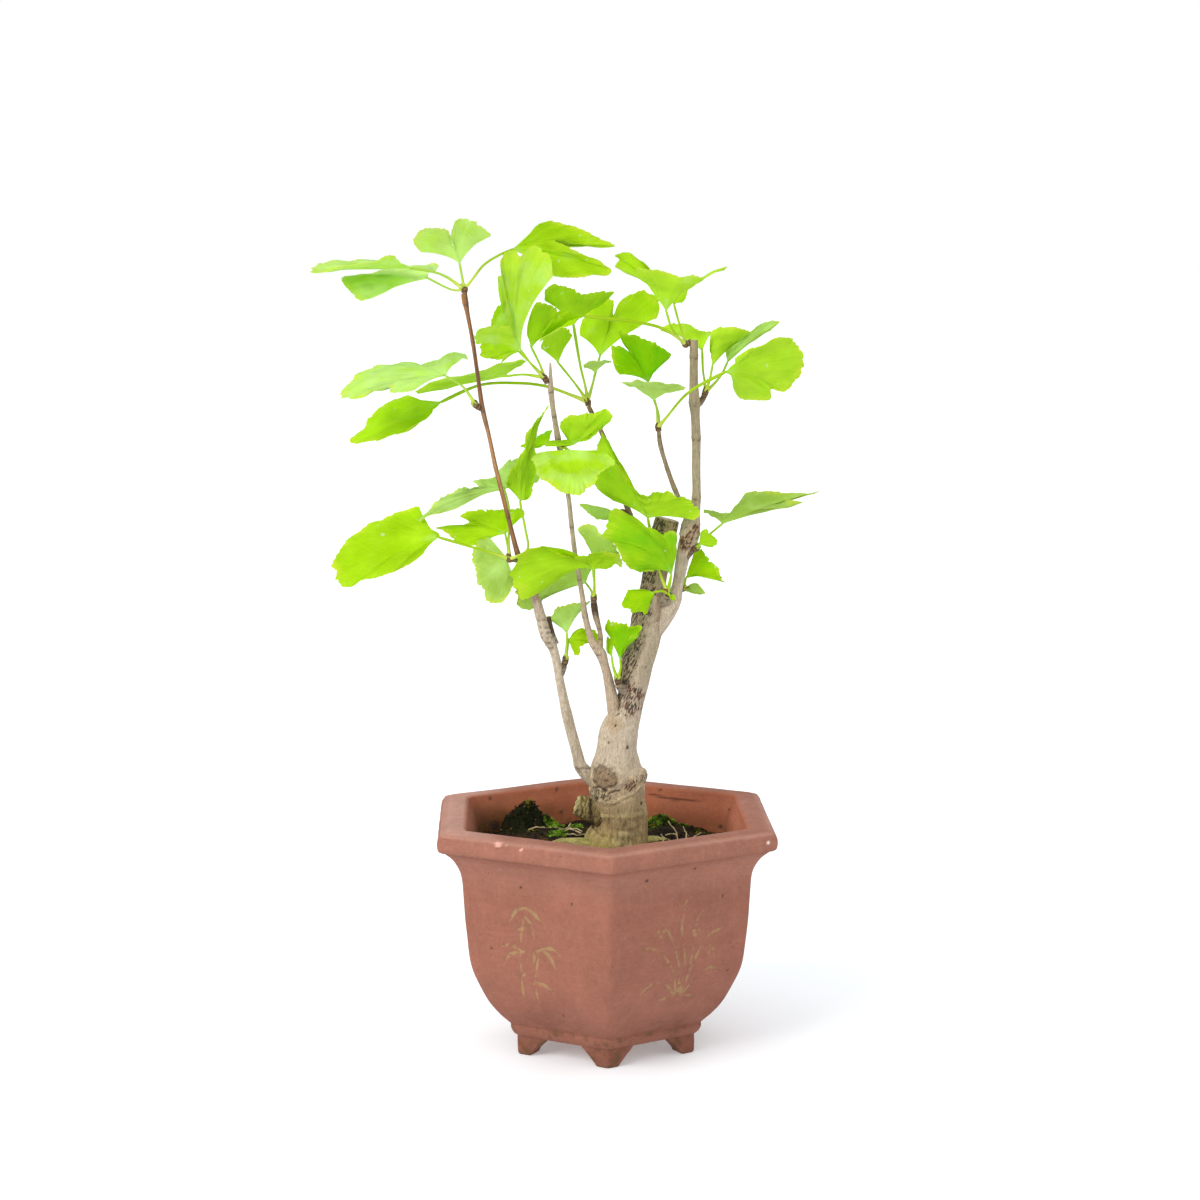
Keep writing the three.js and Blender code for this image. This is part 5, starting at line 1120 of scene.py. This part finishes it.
def stroke_depth(across, height, strokes, width, taper):
    """1 in the middle of the strokes, 0 away from them; a leaf's stroke tapers to both ends."""
    depth = 0 * across
    for stroke in strokes:
        u, z = curve(stroke, 0.5).T
        middle = np.sin(np.linspace(0.12, 0.94, len(u)) * np.pi)
        half = width * (0.35 + 0.9 * middle**2 if taper else 0.75 + 0.4 * np.sin(np.arange(len(u)) / 5))
        away = np.hypot(across[:, None] - u, height[:, None] - z) / half
        depth = np.maximum(depth, ease(1.25, 0.6, away.min(1)))
    return depth


def motif(points):
    """How deep each point lies in the scratched decoration, 0 to 1."""
    depth = np.zeros(len(points))
    for k, thin, thick, dots in ((LEFT_FACE, BAMBOO, BAMBOO_LEAVES, []), (RIGHT_FACE, GRASS, [], BLOSSOMS)):
        across, out = face_place(points, k)
        near = (out > 55) & (np.abs(across) < 32) & (points[:, 2] > 30) & (points[:, 2] < 90)
        u, z = across[near], points[near, 2]
        part = np.maximum(stroke_depth(u, z, thin, 0.62, False), stroke_depth(u, z, thick, 0.85, True))
        for cu, cz in dots:
            part = np.maximum(part, ease(1.1, 0.5, np.hypot(u - cu, z - cz)))
        depth[near] = part
    return depth


def paint_pot(points, inside):
    """The clay's colour: dust, damp, stains, chips, the decoration's ochre, and painted light and shade at
    the lip.
    """
    x, _, z = points.T
    outside = 1 - inside
    dust = rough(points, 16, 3, 71)
    fine = rough(points, 3, 3, 72)
    lip = ease(106, 112, z) * outside
    low = ease(40, 14, z) * outside
    algae = coats(
        blend(ease(-0.6, 0.5, rough(points, (5, 5, 3), 2, 81)), rgb(110, 68, 20), rgb(140, 72, 26)),
        (0.8 * ease(0.25, 0.7, rough(points, 2.6, 2, 82)) * ease(108, 101, z), rgb(112, 96, 18)))
    damp = inside * ease(113, 99, z + 5 * dust) * (0.35 + 0.6 * ease(-18, -52, x + 9 * dust))
    band = bell(z, 13.5, 3.2) + 0.5 * ease(12, 2, z)
    layers = [
        (0.16 * lip + 0.16 * ease(0.1, 0.9, fine) * lip, CLAY_PALE),
        # painted highlight, partly wear: a lighter line along the lip's upper ridge
        (0.4 * bell(z, 116.2, 0.7) * outside, rgb(200, 152, 136)),
        # painted shade: a dark line in the crease under the lip's band
        (0.4 * bell(z, 107.2, 0.8) * outside, CLAY_DARK),
        (0.2 * ease(84, 98, z) * ease(106, 103, z) * outside, CLAY_PALE),
        (0.45 * ease(116.2, 117.2, z) * ease(-45, -66, x), rgb(206, 164, 152)),
        (0.26 * low + 0.2 * low * ease(0, 0.6, dust), CLAY_DARK), (0.8 * inside, rgb(172, 98, 68)),
        (damp, algae), (inside * 0.55 * ease(-48, -60, x + 4 * dust) * ease(116, 108, z), rgb(84, 50, 18)),
        (0.5 * inside * ease(107, 99, z + 3 * fine) * ease(0, 0.5, fine), STAIN),
        (0.62 * band * ease(0.0, 0.75, fine + 0.35 * dust) * outside, STAIN),
        (0.07 * ease(0.2, 0.9, noise(points, (1.6, 1.6, 18), 73)) * outside, CLAY_PALE)]
    for k, u, height, size in SPECKS:
        across, out = face_place(points, k)
        mark = ease(1.2, 0.6, np.hypot(across - u, z - height) / size)
        layers.append((0.85 * mark * (out > 40), rgb(48, 34, 28)))
    across, out = face_place(points, LEFT_FACE)
    for u, height, wide, high in CHIPS:
        away = np.hypot((across - u) / wide, (z - height) / high) + 0.5 * rough(points, 1.1, 2, 74)
        layers.append((0.75 * ease(1.2, 0.7, away) * (out > 70), rgb(232, 176, 160)))
    across, out = face_place(points, RIGHT_FACE)
    layers.append((0.9 * ease(1.1, 0.6, np.hypot(across - 42, z - 112.6)) * (out > 70), rgb(240, 226, 214)))
    across, out = face_place(points, BACK_FACE)
    crack = np.abs(z - 112 - 0.4 * np.sin(across / 5) - 0.001 * (across + 6) * np.abs(across + 6))
    wide = 0.38 + 0.3 * bell(across, -3, 7)
    layers.append((0.9 * inside * (out > 55) * ease(wide + 0.25, wide - 0.25, crack)
                   * ease(-26, -14, across) * ease(11, 8, across), rgb(84, 42, 28)))
    return coats(blend(0.5 * ease(-0.9, 1.2, dust), CLAY, CLAY * 0.82), *layers)


def pot():
    shell = Shell()
    levels, outside = pot_levels()
    rings = hex_rings(levels, hex_columns(POT_COLUMNS, 7))
    inside = np.repeat(np.arange(len(levels)) > outside, rings.shape[1]).astype(float)
    points = rings.reshape(-1, 3)
    scratch = motif(points) * (1 - inside)
    filled = 0.7 * scratch * ease(-0.75, 0.1, rough(points, 2.4, 3, 75))
    colour = blend(filled, paint_pot(points, inside), rgb(164, 138, 92))
    hand = 0.35 * noise(points, 34, 76) + 0.14 * noise(points, 8, 77) - 0.42 * scratch
    hand = hand * ease(10, 16, points[:, 2]) * np.where(inside > 0, 0.6, 1)
    points[:, :2] += unit(points[:, :2]) * hand[:, None]
    points[:, 2] += 0.3 * noise(points, (26, 26, 200), 78) * ease(104, 110, points[:, 2])
    shell.add(points, [grid_faces(*rings.shape[:2], looped=True)], tint=colour)
    for k in range(6):
        foot(shell, k)
    return shell


def foot(shell, k):
    points, faces = close_ends(np.array([
        bracket(k, FOOT_RADIUS + out, arm, z) for z, arm, out in curve(FOOT_LEVELS, 0.8)]))
    points[:, :2] += 0.25 * noise(points, 4, 79)[:, None] * unit(points[:, :2])
    dirt = rough(points, 3, 3, 80)
    stained = 0.5 * ease(0.2, 0.8, dirt) + 0.3 * ease(3, 0, points[:, 2])
    shell.add(points, faces, tint=coats(CLAY, (0.55 + 0.2 * dirt, CLAY_DARK), (stained, STAIN)))


def bracket(k, radius, arm, z):
    """One level of a foot folded round a corner, its plan's corners rounded."""
    depth, along, across = 9, math.cos(math.pi / 3), math.sin(math.pi / 3)
    tip, side = (-arm * along, arm * across), (-arm * along - depth * across, arm * across - depth * along)
    plan = np.array([(0, 0), tip, side, (-depth / across, 0), (side[0], -side[1]), (tip[0], -tip[1])])
    plan = np.stack([plan + (np.roll(plan, -1, 0) - plan) * t for t in (0, 0.25, 0.75)], 1).reshape(-1, 2)
    for _ in range(2):
        after = np.roll(plan, -1, 0)
        plan = np.stack([0.75 * plan + 0.25 * after, 0.25 * plan + 0.75 * after], 1).reshape(-1, 2)
    c, s = heading(corner_angle(k))
    x, y = radius + plan[:, 0], plan[:, 1]
    return np.stack([c * x - s * y, s * x + c * y, np.full(len(x), z)], axis=1)


def clay_material():
    s = Shader("fired_clay")
    tint = s.shade(s.read("tint", "Color"), s.noise(13, 4), 0.88, 1.12)
    tint = s.shade(tint, s.noise(2.2, 4), 0.9, 1.1)
    tint = s.shade(tint, s.noise(1.0, 3, s.stretched(50, 50, 1000)), 0.94, 1.06)
    tint = s.coat(tint, s.span(s.noise(0.75, 2), 0.66, 0.74), 0.35, rgb(206, 158, 136))
    tint = s.coat(tint, s.span(s.noise(1.1, 2, distortion=0.6), 0.34, 0.27), 0.5, rgb(96, 56, 42))
    rough_sand = s.bump(s.noise(0.55, 3), 0.14, s.bump(s.noise(4, 3), 0.3))
    return s.finish(Base_Color=tint, Roughness=s.span(s.noise(5, 3), 0.3, 0.7, 0.68, 0.86),
                    Specular_IOR_Level=0.35, Normal=rough_sand)


# ---------------------------------------- soil
SOIL_EDGE, SOIL_CROWN = 97.5, 101.4  # heights
SOIL_REACH, SOIL_RINGS, POT_GAP = 62.8, 70, 0.55
CRUMBS, CRUMB_SIZE = 1700, 0.28
LEAFLETS, LEAFLET_HALF = 7, 0.4
TRUNK_CLEAR = 15  # nothing loose lies nearer to the trunk's middle
CLOD = (-40, 36, 100, 14, 9, 12)  # x, y, z, half width, half depth, height
TRUNK_FOOT = 7  # its x; its y is 0
SOIL = rgb(50, 37, 20)
SOIL_BROWN = rgb(96, 68, 38)
SOIL_BLACK = rgb(24, 17, 8)
MOSS_DEEP = rgb(44, 74, 8)
MOSS = rgb(116, 172, 22)
MOSS_TIP = rgb(184, 224, 72)
MOSS_YELLOW = rgb(168, 158, 34)
MOSS_BLACK = rgb(84, 66, 30)
ROOTLET = rgb(216, 196, 150)

# x, y, half width, half depth, count, height of the tufts, colour of their tips
MOSS_BEDS = [
    (-27, 40, 6, 8, 240, 4.2, MOSS_TIP), (-24, 19, 5.5, 6, 130, 2.4, MOSS_TIP),
    (-38, 22, 3, 3, 24, 1.8, MOSS_YELLOW), (-40, 36, 3.2, 2.4, 34, 2.4, MOSS_YELLOW),
    (-41, 34, 12, 8, 130, 2.6, MOSS_BLACK), (-15, 46, 4, 4, 50, 2.4, MOSS_TIP),
    (30, 46, 8, 5, 220, 4.6, MOSS_TIP), (41, 41, 3, 3, 24, 2.2, MOSS_TIP),
    (54, 30, 3.5, 5, 50, 2.4, MOSS_YELLOW), (50, 36, 4, 3, 30, 3.2, MOSS_YELLOW),
    (24, 38, 6, 5, 40, 1.8, MOSS_YELLOW), (10, -30, 12, 8, 160, 1.8, MOSS_YELLOW),
    (-26, -22, 9, 8, 110, 1.8, MOSS_YELLOW)]
# x, y, height over the soil
ROOTLETS = [
    [(29, 23, 0.4), (30, 18, 0.5), (32, 14, 0.6), (36, 13, 0.4), (40, 14, 0.2)],
    [(37.4, 13, 0), (37, 17, 2), (36.4, 20, 3.4), (34, 24, 4.4), (32.6, 26, 5.6)],
    [(37, 18, 2.4), (34, 19, 2.2), (31, 18, 1.6)],
    [(41.4, 14, 0), (41.8, 18, 2.4), (41, 21, 3.6), (40.4, 25, 5)],
    [(24, 12, 0.6), (28, 8, 0.4), (30, 3, 0)], [(45, 20, 0), (49, 24, 1.4), (50, 29, 0.6)],
    [(-17.6, 46, 2.6), (-18, 41, 2), (-19, 37, 1.4), (-23, 33, 0.6), (-28, 32, 0.2)],
    [(-18.2, 31, 1.6), (-15, 27, 1.2), (-11, 23, 0.8)], [(-12, 22, 0.5), (-19, 25, 0.6), (-27, 22, 0.3)],
    [(-9, 18, 0.4), (-16, 15, 0.8), (-21, 17, 0.3)], [(-30, 30, 0.4), (-34, 26, 1), (-39, 27, 0.3)],
    [(40, -6, 0), (46, -2, 1), (52, -3, 0.2)]]


def soil_height(x, y):
    """The top of the soil, with its lumps and the clod at the back."""
    crown = (SOIL_CROWN - SOIL_EDGE) * np.maximum(0, 1 - np.hypot(x - TRUNK_FOOT, y) / 60)
    mound = 3.4 * np.exp(-((x + 34) ** 2 + (y - 22) ** 2) / 500)
    mound = mound + 3.2 * np.exp(-((x - 31) ** 2 + (y - 42) ** 2) / 260)
    waves = 0.5 * np.sin(x / 5 + 1) * np.cos(y / 6) + 0.35 * np.sin((x - y) / 3.4)
    place = np.stack([x, y, 0 * x], axis=-1)
    ground = SOIL_EDGE + crown + mound + waves + 0.8 * rough(place, 7, 2, 61)
    cx, cy, cz, wide, deep, tall = CLOD
    away = ((x - cx) / wide) ** 2 + ((y - cy) / deep) ** 2 + 0.28 * rough(place, 6, 3, 63)
    clod = cz + tall * np.maximum(0, 1 - away) - 20 * (away > 1)
    lumps = 0.5 * rough(place, 2.6, 3, 62)
    ridges = np.where(clod > ground, 1.2 * lumps + 1.6 * rough(place, 4.2, 2, 66), 0)
    return np.maximum(ground, clod) + lumps + ridges


def soil():
    columns = hex_columns([60] * 6, 5)
    levels = [(a - POT_GAP, z + 0.3, 7) for a, z in reversed(POT_INSIDE[POT_SHOWING + 1 :])]
    levels += [(SOIL_REACH * share, 0, min(7, 31 * share)) for share in np.linspace(1, 0.02, SOIL_RINGS)]
    rings = hex_rings(levels, columns)
    top = rings[-SOIL_RINGS:]
    top[..., 2] = soil_height(top[..., 0], top[..., 1])
    points, faces = close_ends(rings)
    mixed = rough(points, 3.4, 4, 64)
    colour = blend(ease(-0.6, 1.2, mixed), SOIL_BLACK, SOIL)
    colour = blend(0.7 * ease(0.5, 1.0, rough(points, 1.6, 2, 65)), colour, SOIL_BROWN)

    def near(x, y, wide, deep):
        return np.hypot((points[:, 0] - x) / wide, (points[:, 1] - y) / deep)

    for bed in MOSS_BEDS:
        colour = blend(0.7 * ease(1.1, 0.6, near(*bed[:4]) + 0.3 * mixed), colour, MOSS_DEEP)
    x, y, _, wide, deep, _ = CLOD
    colour = blend(0.85 * ease(1.1, 0.8, near(x, y, wide, deep) + 0.2 * mixed), colour, 0.5 * SOIL_BLACK)
    shell = Shell()
    shell.add(points, faces, tint=colour)
    return shell


def clear(x, y, edge=60):
    """Whether a place on the soil is inside the pot and clear of the trunk."""
    inside = all(face_place(np.array([x, y]), k)[1] < edge for k in range(6))
    return inside and math.hypot(x - TRUNK_FOOT, y) > TRUNK_CLEAR


def crumbs():
    """Loose crumbs of soil, small stones and bark bits."""
    draw = np.random.default_rng(5)
    shell = Shell()
    gold = (1 + 5**0.5) / 2
    knobs = unit(np.array([np.roll((a, b * gold, 0), turn)
                           for turn in range(3) for b in (1, -1) for a in (-1, 1)]))
    sides = np.array([
        (0, 11, 5), (0, 5, 1), (0, 1, 7), (0, 7, 10), (0, 10, 11), (1, 5, 9), (5, 11, 4), (11, 10, 2),
        (10, 7, 6), (7, 1, 8), (3, 9, 4), (3, 4, 2), (3, 2, 6), (3, 6, 8), (3, 8, 9), (4, 9, 5),
        (2, 4, 11), (6, 2, 10), (8, 6, 7), (9, 8, 1)])
    for _ in range(CRUMBS):
        x, y = draw.uniform(-62, 62, 2)
        if not clear(x, y):
            continue
        size = CRUMB_SIZE + 0.75 * draw.random() ** 2.5
        stone = knobs * size * draw.uniform(0.7, 1.25, (12, 1)) * draw.uniform(0.6, 1.3, 3)
        tone = draw.random()
        colour = blend(tone**2, SOIL_BLACK, SOIL_BROWN) if tone < 0.97 else rgb(160, 138, 104)
        shell.add(stone + (x, y, soil_height(x, y) + 0.3 * size), [sides], tint=colour)
    return shell


def moss():
    """Tufts of short pointed leaflets."""
    draw = np.random.default_rng(8)
    shell = Shell()
    for x, y, wide, deep, count, tall, tip_colour in MOSS_BEDS:
        for _ in range(count):
            turn, away = draw.uniform(0, FULL_TURN), math.sqrt(draw.random())
            px, py = x + wide * away * math.cos(turn), y + deep * away * math.sin(turn)
            heap = 0.55 * tall * (1 - away**2) * draw.random()
            bare = tip_colour is MOSS_TIP and math.hypot(px + 41, py - 36) < 10
            if clear(px, py, 61) and not bare:
                tuft(shell, draw, px, py, heap, tall * (0.8 - 0.35 * away), tip_colour)
    return shell


def tuft(shell, draw, x, y, heap, tall, tip_colour):
    foot = np.array([x, y, soil_height(x, y) + heap - 0.3])
    lean = draw.normal(0, 0.25, 2)
    # painted light and shade: each tuft made lighter or darker in patches
    lit = (0.22 + 0.78 * ease(-0.3, 0.5, noise((x, y, 0), 2.2, 83))) * draw.uniform(0.7, 1.1)
    leafy = MOSS if tip_colour is MOSS_TIP else 0.6 * tip_colour
    deep = SOIL if tip_colour is MOSS_BLACK else MOSS_DEEP
    faces = np.array([(0, 2, 1), (0, 3, 2), (0, 1, 3), (4, 1, 2), (4, 2, 3), (4, 3, 1)])
    for _ in range(LEAFLETS):
        turn = draw.uniform(0, FULL_TURN)
        way = unit(np.array([*(heading(turn) * (0.35 + 0.5 * draw.random()) + lean), 1]))
        side = unit(np.cross(way, (0.2, 0.3, 1)))
        other = np.cross(way, side)
        stem = way * tall * draw.uniform(0.45, 1.0)
        ring = [stem * 0.45 + LEAFLET_HALF * (side * math.cos(a) + other * math.sin(a))
                for a in (0, FULL_TURN / 3, 2 * FULL_TURN / 3)]
        middle = lit * blend(draw.random(), deep, leafy)
        tip = lit * blend(0.35 + 0.65 * draw.random(), leafy, tip_colour)
        # painted shade: the tuft's foot at a third of its deep colour
        shell.add(foot + [0 * stem, *ring, stem], [faces],
                  tint=np.array([deep * 0.3, middle, middle, middle, tip]))


def rootlets():
    shell = Shell()
    for seed, line in enumerate(ROOTLETS):
        fine = curve(line, 1.5)
        fine[:, :2] += 0.3 * np.stack([noise(fine, 2.4, seed), noise(fine, 2.4, seed + 1)], 1)
        fine[:, 2] += soil_height(fine[:, 0], fine[:, 1])
        radius = 0.42 - 0.2 * np.arange(len(fine)) / len(fine)
        fine[0, 2] -= 0.6
        radius[0] = 0.45
        tube = Tube(np.column_stack([fine, radius]), 9, 0.7)
        grain = rough(tube.points, 2, 2, seed)
        tube.lift(0.08 * grain)
        tube.add_to(shell, tint=blend(0.5 + 0.5 * grain, ROOTLET * 0.5, ROOTLET), gloss=0.0)
    return shell


def soil_material():
    s = Shader("dark_soil")
    grain = s.noise(1.2, 5)
    return s.finish(Base_Color=s.shade(s.read("tint", "Color"), grain, 0.35, 1.75), Roughness=0.9,
                    Specular_IOR_Level=0.15, Normal=s.bump(grain, 0.7, s.bump(s.noise(3.2, 3), 1.0)))


def moss_material():
    s = Shader("living_moss")
    return s.finish(Base_Color=s.shade(s.read("tint", "Color"), s.noise(2.5, 3), 0.75, 1.3),
                    Roughness=0.6, Specular_IOR_Level=0.3, Normal=s.bump(s.noise(0.5, 2), 0.1))


def plastic_material():
    s = Shader("black_plastic")
    grain = s.noise(0.6, 3)
    return s.finish(Base_Color=s.mix(grain, rgb(24, 24, 23), rgb(40, 40, 38)), Roughness=0.55,
                    Normal=s.bump(grain, 0.05))


# ---------------------------------------- camera, floor and light
CAMERA_PLACE = (0.01414, -1.2834, 0.3990)
CAMERA_DOWN = 0.1352  # radians below level
CAMERA_LENS = 78.33
FLOOR_HALF = 30
FLOOR_SHINE = 0.24
FLOOR_WHITE = (0.88, 0.93, 0.97, 1)
SKY_LIGHT = 0.9
SUN_LIGHT = 1.5
SUN_WIDTH = math.radians(35)
SUN_COLOUR = (1.0, 0.97, 0.93)
SUN_WAY = (0.62, 0.6, -0.6)


def add_camera():
    camera = add_object("camera", bpy.data.cameras.new("camera"))
    camera.location = CAMERA_PLACE
    camera.rotation_euler = (math.pi / 2 - CAMERA_DOWN, 0, 0)
    camera.data.lens = CAMERA_LENS
    camera.data.sensor_width = 36
    bpy.context.scene.camera = camera


def add_floor():
    mesh = bpy.data.meshes.new("floor")
    corners = [(x * FLOOR_HALF, y * FLOOR_HALF, 0) for x, y in ((-1, -1), (1, -1), (1, 1), (-1, 1))]
    mesh.from_pydata(corners, [], [(0, 1, 2, 3)])
    s = Shader("white_floor")
    white = s.shade((1, 1, 1), s.noise(120, 2), 0.985, 1.0)
    mesh.materials.append(s.finish(
        Base_Color=s.mix(1.0, white, FLOOR_WHITE, "MULTIPLY"), Roughness=0.8, Specular_IOR_Level=0.1,
        Emission_Color=white, Emission_Strength=FLOOR_SHINE))
    floor = add_object("floor", mesh)


def add_light():
    """A white backdrop that lights the scene a little less than it shows, and a soft sun."""
    world = bpy.data.worlds.new("studio")
    world.use_nodes = True
    bpy.context.scene.world = world
    tree = world.node_tree
    sky = tree.nodes["Background"]
    sky.inputs["Color"].default_value = (1, 1, 1, 1)
    path = tree.nodes.new("ShaderNodeLightPath")
    strength = tree.nodes.new("ShaderNodeMapRange")
    tree.links.new(path.outputs["Is Camera Ray"], strength.inputs["Value"])
    strength.inputs["To Min"].default_value = SKY_LIGHT
    strength.inputs["To Max"].default_value = 1.0
    tree.links.new(strength.outputs["Result"], sky.inputs["Strength"])
    sun = bpy.data.lights.new("key", "SUN")
    sun.energy, sun.angle, sun.color = SUN_LIGHT, SUN_WIDTH, SUN_COLOUR
    lamp = add_object("key", sun)
    lamp.rotation_euler = Vector(SUN_WAY).to_track_quat("-Z", "Y").to_euler()
    bpy.context.scene.view_settings.view_transform = "Standard"


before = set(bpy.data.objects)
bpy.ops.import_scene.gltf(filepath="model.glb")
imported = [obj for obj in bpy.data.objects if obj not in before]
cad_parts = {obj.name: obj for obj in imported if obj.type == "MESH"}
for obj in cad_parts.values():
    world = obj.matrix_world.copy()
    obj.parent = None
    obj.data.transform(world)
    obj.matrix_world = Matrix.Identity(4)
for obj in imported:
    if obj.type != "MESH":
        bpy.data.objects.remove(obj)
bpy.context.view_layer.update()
add_camera()
add_floor()
add_light()
leaf_green = leaf_material()
for count, spray in enumerate(SPRAYS):
    add_piece("leaves_" + spray.name, bunch(spray, 10.0 * count), leaf_green, spray.slot,
              "spray_" + spray.name)
bark = bark_material()
add_piece("wood_grown", wood(), bark, "bark", "wood")
add_piece("spur_buds", buds(), bark, "bark")
add_piece("pot_fired", pot(), clay_material(), "clay", "pot")
earth = soil_material()
add_piece("soil_earth", soil(), earth, "soil", "soil")
add_piece("soil_crumbs", crumbs(), earth, "soil")
add_piece("moss", moss(), moss_material(), "soil")
add_piece("rootlets", rootlets(), bark, "bark")
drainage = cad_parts["drainage_mesh"]
drainage.data.materials.clear()
drainage.data.materials.append(plastic_material())
